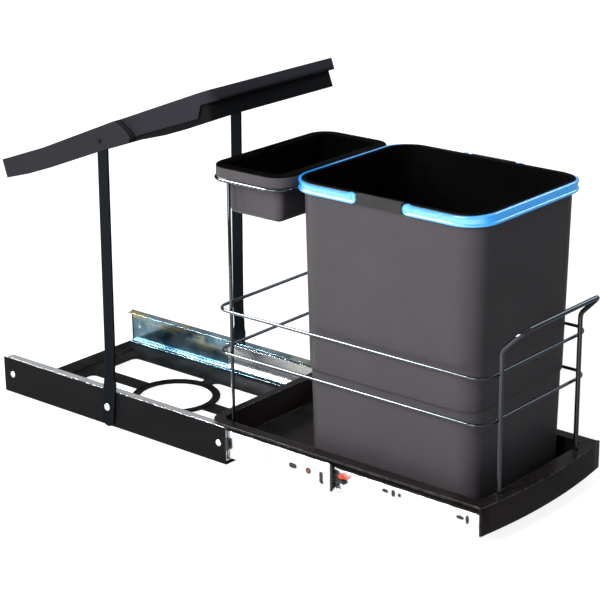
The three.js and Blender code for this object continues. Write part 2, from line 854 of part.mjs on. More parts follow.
// The outside and the inside of a bin as one profile from the foot's edge, over the rim, to the
// floor. Offsets are measured from the rim's outer face.
function binProfile({ foot, footRadius, floor, rimTop, skirt, taper, topInset, step, wall }) {
  const profile = [];
  const under = rimTop - 4.5;
  const slope = taper / (under - floor);
  const wallAt = (z) => -topInset - slope * (under - z);
  for (let i = 0; i <= 3; i += 1) {
    const angle = (i / 3) * (Math.PI / 2);
    const reach = footRadius * (1 - Math.sin(angle));
    profile.push([-foot - reach, floor + footRadius * (1 - Math.cos(angle))]);
  }
  if (step > 0) {
    profile.push([wallAt(step) - 2, step - 2]);
    profile.push([wallAt(step), step + 2]);
  }
  profile.push([-topInset, under]);
  profile.push([-wall, under]);
  profile.push([-wall, rimTop - skirt]);
  profile.push([0, rimTop - skirt]);
  profile.push([0, rimTop - 1.5]);
  profile.push([-1.5, rimTop]);
  profile.push([-topInset - wall + 0.8, rimTop]);
  profile.push([-topInset - wall, rimTop - 1.5]);
  if (step > 0) {
    profile.push([wallAt(step) - wall, step + 2]);
    profile.push([wallAt(step) - 2 - wall, step - 2]);
  }
  profile.push([-foot - wall, floor + footRadius]);
  profile.push([-foot - wall - footRadius * 0.4, floor + wall + footRadius * 0.2]);
  profile.push([-foot - footRadius - wall * 0.5, floor + wall]);
  return profile;
}

const bigLoop = { halfX: binHalf, halfY: bigBinLength / 2, corner: 35, y: bigCentre };
const bailPivots = [bigCentre - bailPivotGap / 2, bigCentre + bailPivotGap / 2];
const bailLow = bigRimTop - rimSkirt - 1;

function bigBin() {
  const profile = binProfile({
    foot: bigBinFoot,
    footRadius: 8,
    floor: trayFloor + seat,
    rimTop: bigRimTop,
    skirt: rimSkirt,
    taper: bigBinFoot - 3.5 - 2,
    topInset: 3.5,
    step: 150,
    wall: binWall,
  });
  const bin = loopLoft(bigLoop, profile, false);
  const lugEnd = bailPivotGap / 2 - bailTip - 0.6;
  const lugOutline = roundedOutline(
    bigCentre - lugEnd,
    bigCentre + lugEnd,
    bigRimTop - rimSkirt,
    bigRimTop,
    1.6,
  );
  const extras = [];
  for (const side of [-1, 1]) {
    const xs = [side * (binHalf - 1), side * bailOuter].sort((a, b) => a - b);
    extras.push(plateX(lugOutline, xs[0], xs[1]));
    for (const y of bailPivots) {
      const stub = [side * (binHalf - 1), side * (bailOuter - 0.4)].sort((a, b) => a - b);
      extras.push(rodX(stub[0], stub[1], y, bailPivotHeight, 2.5));
    }
  }
  return join(bin, ...extras);
}

// A U-shaped band round one end of the rim, with round ends past its two pivots. Its outside has
// a rib along each edge.
function bail(pivot, direction) {
  const [low, high] = [bailLow, bigRimTop];
  const rib = 3;
  const bandLoop = { ...bigLoop };
  const band = loopLoft(bandLoop, [
    [seat, low],
    [seat + bailBand, low + 0.6],
    [seat + bailBand, low + rib],
    [seat + bailBand - 1, low + rib + 0.8],
    [seat + bailBand - 1, high - rib - 0.8],
    [seat + bailBand, high - rib],
    [seat + bailBand, high - 0.6],
    [seat, high],
  ], true);
  const radius = (high - low) / 2;
  const middle = (high + low) / 2;
  const end = pivot - direction * (bailTip - radius);
  const far = pivot + direction * bigBinLength;
  const shape = new THREE.Shape();
  if (direction < 0) {
    shape.absarc(end, middle, radius, -Math.PI / 2, Math.PI / 2, false);
  } else {
    shape.absarc(end, middle, radius, Math.PI / 2, Math.PI * 1.5, false);
  }
  shape.lineTo(far, direction < 0 ? high : low);
  shape.lineTo(far, direction < 0 ? low : high);
  const reach = bailOuter + 10;
  return cut(
    common(band, plateX(shape, -reach, reach, 6)),
    rodX(-reach, reach, pivot, bailPivotHeight, 2.8),
  );
}

addPiece('big_bin', bigBin(), 'bin');
addPiece('bail_front', bail(bailPivots[0], -1), 'bail');
addPiece('bail_rear', bail(bailPivots[1], 1), 'bail');
addPiece('small_bin', loopLoft(smallLoop, binProfile({
  foot: 17,
  footRadius: 7,
  floor: smallRimTop - smallBinHeight,
  rimTop: smallRimTop,
  skirt: smallSkirt,
  taper: 3,
  topInset: 14,
  step: 0,
  wall: binWall,
}), false), 'bin');

// ---- lid ----

// The lid is drawn level in its own frame: forward of the pivot and above it.
const lid = new THREE.Group();
lid.position.set(0, postPlace, pivotHeight);
lid.rotation.x = -THREE.MathUtils.degToRad(lidTilt);
unit.add(lid);

// Top of the lid at the given distance forward of the pivot.
const crownLine = [[-lidRear, 12.4], [-108, 12.4], [32, 19.3], [lidFront - 16, 23.5]];
const crownEnd = crownLine[crownLine.length - 1];

function crown(forward) {
  for (let i = 1; i < crownLine.length; i += 1) {
    const [from, to] = [crownLine[i - 1], crownLine[i]];
    if (forward <= to[0]) {
      return from[1] + ((forward - from[0]) / (to[0] - from[0])) * (to[1] - from[1]);
    }
  }
  return crownEnd[1];
}

// The crown between two places, lowered by `drop`.
function crownPoints(from, to, drop) {
  const inner = crownLine.filter(([forward]) => forward > from && forward < to);
  return [[from, crown(from)], ...inner, [to, crown(to)]].map(([u, v]) => [u, v - drop]);
}

// The curved seam between the rear and the front cover, from the top down.
const seamLine = [[36, crown(36)], [38, 16.5], [43, 10.5], [49.5, 3], [53, -3.5], [53.6, -7]];

function seam(shift) {
  return seamLine.map(([u, v]) => [u + shift, v]);
}

// An outline drawn forward and up, as a plate across the lid.
function acrossLid(points, half) {
  return plateX(outlineOf(points.map(([u, v]) => [-u, v])), -half, half);
}

// The lid seen from above: straight sides and rounded front corners.
function planOfLid(half, front, corner) {
  const shape = new THREE.Shape();
  shape.absarc(corner - half, corner - front, corner, Math.PI, Math.PI * 1.5, false);
  shape.absarc(half - corner, corner - front, corner, Math.PI * 1.5, Math.PI * 2, false);
  shape.lineTo(half, lidRear);
  shape.lineTo(-half, lidRear);
  return plateZ(shape, -40, 40, 3);
}

const below = -30; // beneath everything that belongs to the lid

function rearCover() {
  const body = acrossLid([
    [-lidRear - 0.7, -12.5],
    [-lidRear, 12.4],
    ...crownPoints(-108, 36, 0).slice(0, -1),
    ...seam(0),
    [50, -10.4],
    [0, -12],
    [-108, -15],
    [-150, -15],
  ], cheekFace);
  const hollow = acrossLid([
    [-lidRear - 10, 12.4 - lidSheet],
    ...crownPoints(-108, 34, lidSheet),
    ...seam(-2).slice(2),
    [seamLine[5][0] - 2, below],
    [-lidRear - 10, below],
  ], cheekInside);
  const passage = acrossLid([
    ...crownPoints(10, 60, lidSheet),
    [60, below],
    [10, below],
  ], lidSide + seat);
  const bore = rodX(-unitWidth, unitWidth, 0, 0, pinDiameter / 2 + seat);
  return cut(body, hollow, passage, bore);
}

function frontCover() {
  const lipLow = 8.5;
  const skirtLow = -6;
  const outer = acrossLid([
    ...seam(0.4).slice(0, -1),
    [seamLine[5][0] + 0.4, skirtLow],
    [lidFront - 33, skirtLow],
    [lidFront - 22.5, lipLow],
    [lidFront - 2, lipLow],
    [lidFront, lipLow + 2.5],
    [lidFront - 5.5, crownEnd[1]],
    crownEnd,
  ], lidSide);
  const inner = acrossLid([
    ...crownPoints(20, crownEnd[0], lidSheet),
    [lidFront - 5.5 - lidWall, crownEnd[1] - lidSheet],
    [lidFront - lidWall - 0.5, lipLow],
    [lidFront - lidWall - 0.5, below],
    [20, below],
  ], lidSide - lidWall);
  return cut(
    common(outer, planOfLid(lidSide, lidFront, 21)),
    common(inner, planOfLid(lidSide - lidWall, lidFront - lidWall - 0.5, 21 - lidWall)),
  );
}

function linerFrame() {
  const front = lidFront - 13;
  const rear = -4;
  const low = -linerReach;
  const top = lidSheet + seat;
  const inside = linerOuter - linerWall;
  const outer = acrossLid([...crownPoints(rear, front, top), [front, low], [rear, low]], linerOuter);
  const inner = acrossLid([
    ...crownPoints(rear - 20, front + 20, -10),
    [front + 20, below],
    [rear - 20, below],
  ], inside);
  const walls = cut(
    common(outer, planOfLid(linerOuter, front, 12)),
    common(inner, planOfLid(inside, front - linerWall, 12 - linerWall)),
  );
  const ribs = [];
  for (let i = 0; i < linerRibs; i += 1) {
    const u = rear + 8 + (i / linerRibs) * (front - rear - 8);
    ribs.push(block(-inside - 1, inside + 1, -u - 1, -u + 1, linerRibLow, crown(u) - top));
  }
  return join(walls, ...ribs);
}

addPiece('lid_rear_cover', rearCover(), 'lid', lid);
addPiece('lid_front_cover', frontCover(), 'lid', lid);
addPiece('lid_liner', linerFrame(), 'liner', lid);

// The origin lies on the floor under the middle of the whole unit.
unit.updateMatrixWorld(true);
const extent = new THREE.Box3().setFromObject(unit);
unit.position.y = -(extent.min.y + extent.max.y) / 2;

export default unit;
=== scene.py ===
import math

import bmesh
import bpy
import numpy as np
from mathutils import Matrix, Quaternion, Vector


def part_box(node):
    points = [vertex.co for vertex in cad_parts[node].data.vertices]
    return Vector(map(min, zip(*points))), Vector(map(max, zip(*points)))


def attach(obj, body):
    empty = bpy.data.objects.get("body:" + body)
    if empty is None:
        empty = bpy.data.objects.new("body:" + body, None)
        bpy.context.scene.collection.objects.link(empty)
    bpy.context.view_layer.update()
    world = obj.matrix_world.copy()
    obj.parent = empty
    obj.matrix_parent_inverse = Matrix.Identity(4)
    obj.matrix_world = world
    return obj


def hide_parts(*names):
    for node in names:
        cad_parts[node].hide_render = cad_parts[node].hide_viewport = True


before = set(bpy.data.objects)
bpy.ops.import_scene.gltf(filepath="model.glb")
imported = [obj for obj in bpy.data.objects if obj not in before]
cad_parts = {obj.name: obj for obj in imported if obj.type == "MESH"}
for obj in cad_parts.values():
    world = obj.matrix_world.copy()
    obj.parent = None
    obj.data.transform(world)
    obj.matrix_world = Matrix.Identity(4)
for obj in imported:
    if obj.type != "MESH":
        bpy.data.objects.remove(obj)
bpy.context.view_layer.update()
print("frame loaded:", len(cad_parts), "nodes")

mm = 0.001


def meshPiece(name, vertices, faces, material, body, slot, replaced=(), sharpAngle=32):
    # one finished piece: its place is in its mesh, and it rides on a body of the frame
    mesh = bpy.data.meshes.new(name)
    mesh.from_pydata(vertices.tolist(), [], faces)
    mesh.validate()
    mesh.update()
    return finishPiece(name, mesh, material, body, replaced, sharpAngle)


def finishPiece(name, mesh, material, body, replaced=(), sharpAngle=32):
    # smooth shading but for edges over sharpAngle degrees, then its material and body, and the
    # frame nodes that it stands for
    mesh.shade_smooth()
    mesh.set_sharp_from_angle(angle=math.radians(sharpAngle))
    mesh.materials.clear()
    mesh.materials.append(material)
    piece = bpy.data.objects.new(name, mesh)
    bpy.context.scene.collection.objects.link(piece)
    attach(piece, body)
    if replaced:
        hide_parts(*replaced)
    return piece


def gridFaces(rows, columns, closedRows=False):
    # quads of a rows x columns grid of vertices, each row closed, and the rows too where asked
    i = np.arange(rows if closedRows else rows - 1)[:, None]
    j = np.arange(columns)[None, :]
    nextI = (i + 1) % rows
    nextJ = (j + 1) % columns
    quads = np.stack([
        i * columns + j, i * columns + nextJ, nextI * columns + nextJ, nextI * columns + j,
    ], axis=-1)
    return quads.reshape(-1, 4).tolist()


def cappedFaces(rows, columns):
    # the grid's quads, then one face over its first row and one over its last
    faces = gridFaces(rows, columns)
    faces.append(list(range(columns))[::-1])
    faces.append(list(range((rows - 1) * columns, rows * columns)))
    return faces


def loopStations(loop, steps):
    # points and outward normals of a rounded rectangle: each corner is an arc, its centre + corner
    # radius * (cos, sin), and the straight side after it is split in `sideSteps` equal parts
    arcs, turns = [], []
    for quarter, (sideX, sideY) in enumerate(((1, -1), (1, 1), (-1, 1), (-1, -1))):
        angles = (quarter - 1 + np.linspace(0, 1, steps + 1)) * math.pi / 2
        turn = np.stack([np.cos(angles), np.sin(angles)], axis=1)
        centre = np.array([
            sideX * (loop["halfX"] - loop["corner"]),
            loop["y"] + sideY * (loop["halfY"] - loop["corner"]),
        ])
        arcs.append(centre + loop["corner"] * turn)
        turns.append(turn)
    share = (np.arange(1, loop["sideSteps"]) / loop["sideSteps"])[:, None]
    points, normals = [], []
    for here, following, turn in zip(arcs, arcs[1:] + arcs[:1], turns):
        points += [here, here[-1] + share * (following[0] - here[-1])]
        normals += [turn, np.repeat(turn[-1:], len(share), axis=0)]
    return np.concatenate(points), np.concatenate(normals)


def loopSurface(loop, profile, steps, closed=False, swell=None):
    # each profile entry (out, z) moves the loop outwards by `out` at height z:
    # vertex = loop point + out * outward normal; swell(z) adds a crown in the middle of a side
    points, normals = loopStations(loop, steps)
    out = np.asarray(profile, float)[:, 0][:, None, None]
    height = np.asarray(profile, float)[:, 1][:, None]
    flat = points[None] + out * normals[None]
    if swell is not None:
        alongX = np.clip(1 - (points[:, 0] / (loop["halfX"] - loop["corner"])) ** 2, 0, 1)
        span = loop["halfY"] - loop["corner"]
        alongY = np.clip(1 - ((points[:, 1] - loop["y"]) / span) ** 2, 0, 1)
        crown = np.where(np.abs(normals[:, 1]) > 0.999, alongX, 0)
        crown = crown + np.where(np.abs(normals[:, 0]) > 0.999, alongY, 0)
        flat = flat + (swell(height) * crown[None])[..., None] * normals[None]
    z = np.broadcast_to(height, flat.shape[:2])
    vertices = np.concatenate([flat, z[..., None]], axis=2)
    rows, columns = vertices.shape[:2]
    faces = gridFaces(rows, columns, closedRows=True) if closed else cappedFaces(rows, columns)
    return vertices.reshape(-1, 3), faces


def arc(centre, radius, start, end, steps):
    # points of a circular arc, angles in degrees
    angles = np.radians(np.linspace(start, end, steps + 1))
    return np.stack([
        centre[0] + radius * np.cos(angles), centre[1] + radius * np.sin(angles),
    ], axis=1)


def filletPath(corners, radius, steps=12):
    # straight stretches through the corners, each corner rounded by an arc of the given radius
    corners = [np.asarray(c, float) for c in corners]
    parts = [corners[0][None]]
    for before, here, after in zip(corners, corners[1:], corners[2:]):
        back = (before - here) / np.linalg.norm(before - here)
        on = (after - here) / np.linalg.norm(after - here)
        half = math.acos(float(np.clip(back @ on, -1, 1))) / 2
        middle = (back + on) / np.linalg.norm(back + on)
        centre = here + middle * radius / math.sin(half)
        first = here + back * radius / math.tan(half) - centre
        last = here + on * radius / math.tan(half) - centre
        turn = math.pi - 2 * half
        share = np.linspace(0, 1, steps + 1)[:, None]
        arm = (np.sin((1 - share) * turn) * first + np.sin(share * turn) * last) / math.sin(turn)
        parts.append(centre + arm)
    parts.append(corners[-1][None])
    return np.concatenate(parts)


def tubeSurface(path, radius, sides=18, chamfer=0.0):
    # a circle carried along the path: at each station the circle stands square to the mean of
    # the two neighbouring stretches, and its start angle is carried on without twist; both ends
    # are closed, and chamfered where a chamfer is given
    path = np.asarray(path, float)
    tangents = np.concatenate([path[1:], path[-1:]]) - np.concatenate([path[:1], path[:-1]])
    tangents /= np.linalg.norm(tangents, axis=1)[:, None]
    side = np.cross(tangents[0], [0.0, 0.0, 1.0])
    if np.linalg.norm(side) < 1e-6:
        side = np.array([1.0, 0.0, 0.0])
    across = []
    for tangent in tangents:
        side = side - tangent * (side @ tangent)
        side = side / np.linalg.norm(side)
        across.append(side)
    across = np.array(across)
    up = np.cross(tangents, across)
    angles = np.linspace(0, 2 * math.pi, sides, endpoint=False)
    ring = (across[:, None] * np.cos(angles)[None, :, None]
            + up[:, None] * np.sin(angles)[None, :, None])
    vertices = (path[:, None] + ring * radius).reshape(-1, 3)
    rows = len(path)
    if chamfer == 0:
        return vertices, cappedFaces(rows, sides)
    base, last = rows * sides, (rows - 1) * sides
    caps = [
        path[row] + ring[row] * (radius - chamfer) + sign * tangents[row] * chamfer
        for row, sign in ((0, -1), (rows - 1, 1))
    ]
    j = np.arange(sides)
    k = (j + 1) % sides
    faces = gridFaces(rows, sides)
    faces += np.stack([base + j, base + k, k, j], axis=1).tolist()
    faces += np.stack([last + j, last + k, base + sides + k, base + sides + j], 1).tolist()
    faces.append((base + j[::-1]).tolist())
    faces.append((base + sides + j).tolist())
    return np.concatenate([vertices, *caps]), faces


softening = dict(
    # points nearer than `merge` become one and slivers under `sliver` go (metres); facets within
    # `flat` degrees make one face, edges over `edge` are rounded, those over `sharp` shade sharp
    merge=2e-6, sliver=1e-6, flat=0.6, edge=28, sharp=35,
)


def softened(node, material, body, width, segments):
    # a copy of a frame node with its facets merged and every edge rounded by a small bevel,
    # or with one segment cut to a flat chamfer
    edgeAngle = math.radians(softening["edge"])
    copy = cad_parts[node].data.copy()
    copy.name = node + "_shape"
    work = bmesh.new()
    work.from_mesh(copy)
    bmesh.ops.remove_doubles(work, verts=work.verts, dist=softening["merge"])
    bmesh.ops.dissolve_degenerate(work, edges=work.edges, dist=softening["sliver"])
    bmesh.ops.dissolve_limit(
        work, angle_limit=math.radians(softening["flat"]), verts=work.verts, edges=work.edges,
    )
    if segments == 1:
        edges = [edge for edge in work.edges
                 if len(edge.link_faces) == 2 and edge.calc_face_angle() > edgeAngle]
        bmesh.ops.bevel(work, geom=edges, offset=width, offset_type="OFFSET", segments=1,
                        profile=0.5, affect="EDGES", clamp_overlap=True)
    work.to_mesh(copy)
    work.free()
    piece = finishPiece(node + "_body", copy, material, body, [node], softening["sharp"])
    if segments > 1:
        bevel = piece.modifiers.new("edge", "BEVEL")
        bevel.width = width
        bevel.segments = segments
        bevel.limit_method = "ANGLE"
        bevel.angle_limit = edgeAngle
        bevel.use_clamp_overlap = True
        bevel.harden_normals = True


def newGroup(name, inputs, outputs):
    group = bpy.data.node_groups.new(name, "ShaderNodeTree")
    for socketName, kind, value in inputs:
        socket = group.interface.new_socket(socketName, in_out="INPUT", socket_type=kind)
        if value is not None:
            socket.default_value = value
    for socketName, kind in outputs:
        group.interface.new_socket(socketName, in_out="OUTPUT", socket_type=kind)
    nodes = group.nodes
    return group, nodes, group.links, nodes.new("NodeGroupInput"), nodes.new("NodeGroupOutput")


def scaledVector(nodes, links, vector, scale):
    node = nodes.new("ShaderNodeVectorMath")
    node.operation = "MULTIPLY"
    links.new(vector, node.inputs[0])
    node.inputs[1].default_value = scale
    return node.outputs[0]


def mathNode(nodes, links, operation, first, second=None, clamp=False):
    node = nodes.new("ShaderNodeMath")
    node.operation = operation
    node.use_clamp = clamp
    for index, value in enumerate((first, second)):
        if value is None:
            continue
        if isinstance(value, (int, float)):
            node.inputs[index].default_value = value
        else:
            links.new(value, node.inputs[index])
    return node.outputs[0]


def noiseNode(nodes, links, vector, scale, detail, roughness=0.55):
    node = nodes.new("ShaderNodeTexNoise")
    links.new(vector, node.inputs["Vector"])
    if isinstance(scale, (int, float)):
        node.inputs["Scale"].default_value = scale
    else:
        links.new(scale, node.inputs["Scale"])
    node.inputs["Detail"].default_value = detail
    node.inputs["Roughness"].default_value = roughness
    return node.outputs["Fac"]


def rangeNode(nodes, links, value, low, high, outLow=0.0, outHigh=1.0):
    node = nodes.new("ShaderNodeMapRange")
    links.new(value, node.inputs["Value"])
    node.inputs["From Min"].default_value = low
    node.inputs["From Max"].default_value = high
    node.inputs["To Min"].default_value = outLow
    node.inputs["To Max"].default_value = outHigh
    return node.outputs["Result"]


def noisePatches(nodes, links, vector, look):
    # patches of noise with the look's scale, detail and roughness, 0 to 1 over its patchRange
    noise = noiseNode(nodes, links, vector, *look["patches"])
    return rangeNode(nodes, links, noise, *look["patchRange"])


def newMask(name):
    # a group that gives a mask, and each material sets its amount
    return newGroup(name, [
        ("Vector", "NodeSocketVector", None), ("Amount", "NodeSocketFloat", None),
    ], [("Mask", "NodeSocketFloat")])


def linkMask(nodes, links, start, end, first, second):
    # mask = first * second * amount
    shown = mathNode(nodes, links, "MULTIPLY", first, second)
    links.new(mathNode(nodes, links, "MULTIPLY", shown, start.outputs["Amount"], clamp=True),
              end.inputs["Mask"])


grainLook = dict(fineDetail=2.0, flowScale=9.0, flowDetail=5.0, flowRange=(0.3, 0.7))


def makeMouldGrain():
    # spark-eroded mould texture: fine cells broken by noise, with slow flow shades over them
    group, nodes, links, start, end = newGroup("mouldGrain", [
        ("Vector", "NodeSocketVector", None),
        ("Scale", "NodeSocketFloat", None),
        ("Flow Scale", "NodeSocketFloat", grainLook["flowScale"]),
    ], [("Height", "NodeSocketFloat"), ("Flow", "NodeSocketFloat")])
    vector, scale = start.outputs["Vector"], start.outputs["Scale"]
    cells = nodes.new("ShaderNodeTexVoronoi")
    cells.feature = "SMOOTH_F1"
    links.new(vector, cells.inputs["Vector"])
    links.new(scale, cells.inputs["Scale"])
    fine = noiseNode(nodes, links, vector, scale, grainLook["fineDetail"])
    links.new(mathNode(nodes, links, "ADD", cells.outputs["Distance"], fine),
              end.inputs["Height"])
    flow = noiseNode(nodes, links, vector, start.outputs["Flow Scale"], grainLook["flowDetail"])
    links.new(rangeNode(nodes, links, flow, *grainLook["flowRange"]), end.inputs["Flow"])
    return group


scuffLook = dict(
    # how far the noise is pressed together along X, Y and Z for each way that hairlines run, its
    # detail, and their half width as a step of the noise
    presses=((26.0, 260.0, 30.0), (210.0, 22.0, 160.0), (60.0, 90.0, 520.0)), detail=2.0,
    halfWidth=0.012, patches=(14.0, 3.0), patchRange=(0.52, 0.72),
)


def makeScuffs():
    # hairline scuffs: noise pressed together across one way and cut to thin lines, in patches
    group, nodes, links, start, end = newMask("scuffs")
    vector = start.outputs["Vector"]
    total = None
    for press in scuffLook["presses"]:
        pressed = scaledVector(nodes, links, vector, press)
        lines = noiseNode(nodes, links, pressed, 1.0, scuffLook["detail"])
        thin = mathNode(nodes, links, "ABSOLUTE", mathNode(nodes, links, "SUBTRACT", lines, 0.5))
        line = rangeNode(nodes, links, thin, 0.0, scuffLook["halfWidth"], 1.0, 0.0)
        total = line if total is None else mathNode(nodes, links, "MAXIMUM", total, line)
    patches = noisePatches(nodes, links, vector, scuffLook)
    linkMask(nodes, links, start, end, total, patches)
    return group


edgeLook = dict(
    # the rounded normal's radius and samples, and the cosines where an edge begins and is full
    radius=1.1 * mm, samples=4, cosines=(0.96, 0.8), patches=(130.0, 4.0),
    patchRange=(0.4, 0.62),
)


def makeEdgeWearAndPaintedLight():
    # where the rounded normal leaves the face's own normal, an edge is near; the mask is wear on
    # the steel and most plastics, a painted highlight on the tray and painted shade on the zinc
    group, nodes, links, start, end = newMask("edgeWearAndPaintedLight")
    rounded = nodes.new("ShaderNodeBevel")
    rounded.samples = edgeLook["samples"]
    rounded.inputs["Radius"].default_value = edgeLook["radius"]
    geometry = nodes.new("ShaderNodeNewGeometry")
    dot = nodes.new("ShaderNodeVectorMath")
    dot.operation = "DOT_PRODUCT"
    links.new(rounded.outputs["Normal"], dot.inputs[0])
    links.new(geometry.outputs["Normal"], dot.inputs[1])
    edge = rangeNode(nodes, links, dot.outputs["Value"], *edgeLook["cosines"])
    patches = noisePatches(nodes, links, start.outputs["Vector"], edgeLook)
    linkMask(nodes, links, start, end, edge, patches)
    return group


dustLook = dict(
    # the Z of a face's normal where dust begins and where it lies full
    upward=(0.55, 1.0), patches=(38.0, 6.0, 0.65), patchRange=(0.42, 0.7),
)


def makeDust():
    # pale dust on what faces up, in soft patches
    group, nodes, links, start, end = newMask("dust")
    geometry = nodes.new("ShaderNodeNewGeometry")
    split = nodes.new("ShaderNodeSeparateXYZ")
    links.new(geometry.outputs["Normal"], split.inputs[0])
    up = rangeNode(nodes, links, split.outputs["Z"], *dustLook["upward"])
    patches = noisePatches(nodes, links, start.outputs["Vector"], dustLook)
    linkMask(nodes, links, start, end, up, patches)
    return group


rollLook = dict(
    # streaks, clouds and patches: scale, detail and roughness of each noise, and how far streaks
    # and patches are pressed together along X, Y and Z
    streakPress=(900.0, 5.0, 900.0), streaks=(1.0, 4.0, 0.6), streakRange=(0.3, 0.7),
    clouds=(26.0, 6.0, 0.6), cloudRange=(0.35, 0.65),
    patchPress=(30.0, 9.0, 30.0), patches=(1.0, 4.0), patchRange=(0.56, 0.68),
)


def makeRollLines():
    # rolled and plated sheet: long streaks along Y, and cloudy spangle over them
    group, nodes, links, start, end = newGroup("rollLines", [
        ("Vector", "NodeSocketVector", None),
    ], [("Height", "NodeSocketFloat"), ("Streak", "NodeSocketFloat"),
        ("Cloud", "NodeSocketFloat"), ("Patch", "NodeSocketFloat")])
    vector = start.outputs["Vector"]
    narrow = scaledVector(nodes, links, vector, rollLook["streakPress"])
    wide = scaledVector(nodes, links, vector, rollLook["patchPress"])
    streak = noiseNode(nodes, links, narrow, *rollLook["streaks"])
    cloud = noiseNode(nodes, links, vector, *rollLook["clouds"])
    links.new(streak, end.inputs["Height"])
    links.new(rangeNode(nodes, links, streak, *rollLook["streakRange"]), end.inputs["Streak"])
    links.new(rangeNode(nodes, links, cloud, *rollLook["cloudRange"]), end.inputs["Cloud"])
    links.new(noisePatches(nodes, links, wide, rollLook), end.inputs["Patch"])
    return group


groups = {
    "grain": makeMouldGrain(),
    "scuffs": makeScuffs(),
    "edges": makeEdgeWearAndPaintedLight(),
    "dust": makeDust(),
    "roll": makeRollLines(),
}
print("shared effects made:", ", ".join(groups))


def startMaterial(name, **sockets):
    material = bpy.data.materials.new(name)
    material.use_nodes = True
    nodes, links = material.node_tree.nodes, material.node_tree.links
    shader = nodes["Principled BSDF"]
    for socket, value in sockets.items():
        shader.inputs[socket.replace("_", " ")].default_value = value
    coordinates = nodes.new("ShaderNodeTexCoord").outputs["Object"]
    return material, nodes, links, shader, coordinates


def placeGroup(nodes, links, coordinates, name, **values):
    node = nodes.new("ShaderNodeGroup")
    node.node_tree = groups[name]
    links.new(coordinates, node.inputs["Vector"])
    for socket, value in values.items():
        node.inputs[socket.replace("_", " ")].default_value = value
    return node.outputs


def mixColour(nodes, links, share, first, second):
    node = nodes.new("ShaderNodeMix")
    node.data_type = "RGBA"
    links.new(share, node.inputs["Factor"])
    for socket, value in ((node.inputs[6], first), (node.inputs[7], second)):
        if isinstance(value, tuple):
            socket.default_value = (*value, 1.0)
        else:
            links.new(value, socket)
    return node.outputs[2]


def bump(nodes, links, shader, height, strength, distance):
    node = nodes.new("ShaderNodeBump")
    node.inputs["Strength"].default_value = strength
    node.inputs["Distance"].default_value = distance
    links.new(height, node.inputs["Height"])
    links.new(node.outputs["Normal"], shader.inputs["Normal"])


finishLook = dict(
    # for every look of a finish: how far the roughness runs below and above the look's own, what
    # dust or scuffs add to it, the depth of the grain or roll lines, and the dust's colour; edges
    # is how much the edges are rubbed where a plastic's look doesn't say it
    plastic=dict(
        less=0.04, more=0.05, worn=0.25, depth=0.12 * mm, dustColour=(0.45, 0.44, 0.42),
        coatRoughness=0.12, coatIor=1.8, edges=0.2,
    ),
    steel=dict(
        less=0.03, more=0.05, worn=0.3, depth=0.15 * mm, dustColour=(0.42, 0.41, 0.4),
        flowScale=16.0,
    ),
    zinc=dict(less=0.07, more=0.07, worn=0.2, depth=0.08 * mm),
)


def roughen(nodes, links, shader, look, finish, shade, mask):
    # the roughness rises with the shade, and the mask adds to it
    low, high = look["roughness"] - finish["less"], look["roughness"] + finish["more"]
    rough = rangeNode(nodes, links, shade, 0, 1, low, high)
    worn = mathNode(nodes, links, "MULTIPLY", mask, finish["worn"])
    links.new(mathNode(nodes, links, "ADD", rough, worn, clamp=True), shader.inputs["Roughness"])


def mouldedPlastic(name, look):
    # base colour with flow shades, rubbed edges (a painted highlight on the tray), scuffs and dust
    # over a spark-eroded grain
    finish = finishLook["plastic"]
    # the glow that a look may give is painted light
    material, nodes, links, shader, at = startMaterial(
        name, Specular_IOR_Level=look["specular"], IOR=1.5, Coat_Weight=look.get("coat", 0.0),
        Coat_Roughness=finish["coatRoughness"], Coat_IOR=finish["coatIor"],
        Emission_Color=(*look.get("glowColour", (0, 0, 0)), 1),
        Emission_Strength=look.get("glow", 0.0),
    )
    grain = placeGroup(nodes, links, at, "grain", Scale=look["grainScale"])
    scuffs = placeGroup(nodes, links, at, "scuffs", Amount=look["scuffs"])
    dust = placeGroup(nodes, links, at, "dust", Amount=look["dust"])
    edges = placeGroup(nodes, links, at, "edges", Amount=look.get("edges", finish["edges"]))
    edgeColour = look.get("edgeColour", look["scuffColour"])
    tone = mixColour(nodes, links, grain["Flow"], look["dark"], look["light"])
    tone = mixColour(nodes, links, edges["Mask"], tone, edgeColour)
    tone = mixColour(nodes, links, scuffs["Mask"], tone, look["scuffColour"])
    tone = mixColour(nodes, links, dust["Mask"], tone, finish["dustColour"])
    links.new(tone, shader.inputs["Base Color"])
    roughen(nodes, links, shader, look, finish, grain["Flow"], dust["Mask"])
    bump(nodes, links, shader, grain["Height"], look["grainDepth"], finish["depth"])
    return material


def coatedSteel(name, look):
    # sprayed coat: a slight orange peel, worn through to grey at the edges
    finish = finishLook["steel"]
    material, nodes, links, shader, at = startMaterial(
        name, Specular_IOR_Level=look["specular"], IOR=1.5, Coat_Roughness=look["coatRoughness"],
        Coat_Weight=look["coat"], Specular_Tint=look["tint"],
    )
    grain = placeGroup(nodes, links, at, "grain", Scale=look["grainScale"],
                       Flow_Scale=finish["flowScale"])
    edges = placeGroup(nodes, links, at, "edges", Amount=look["edges"])
    dust = placeGroup(nodes, links, at, "dust", Amount=look["dust"])
    tone = mixColour(nodes, links, grain["Flow"], look["dark"], look["light"])
    tone = mixColour(nodes, links, edges["Mask"], tone, look["edgeColour"])
    tone = mixColour(nodes, links, dust["Mask"], tone, finish["dustColour"])
    links.new(tone, shader.inputs["Base Color"])
    roughen(nodes, links, shader, look, finish, grain["Flow"], dust["Mask"])
    bump(nodes, links, shader, grain["Height"], look["grainDepth"], finish["depth"])
    return material


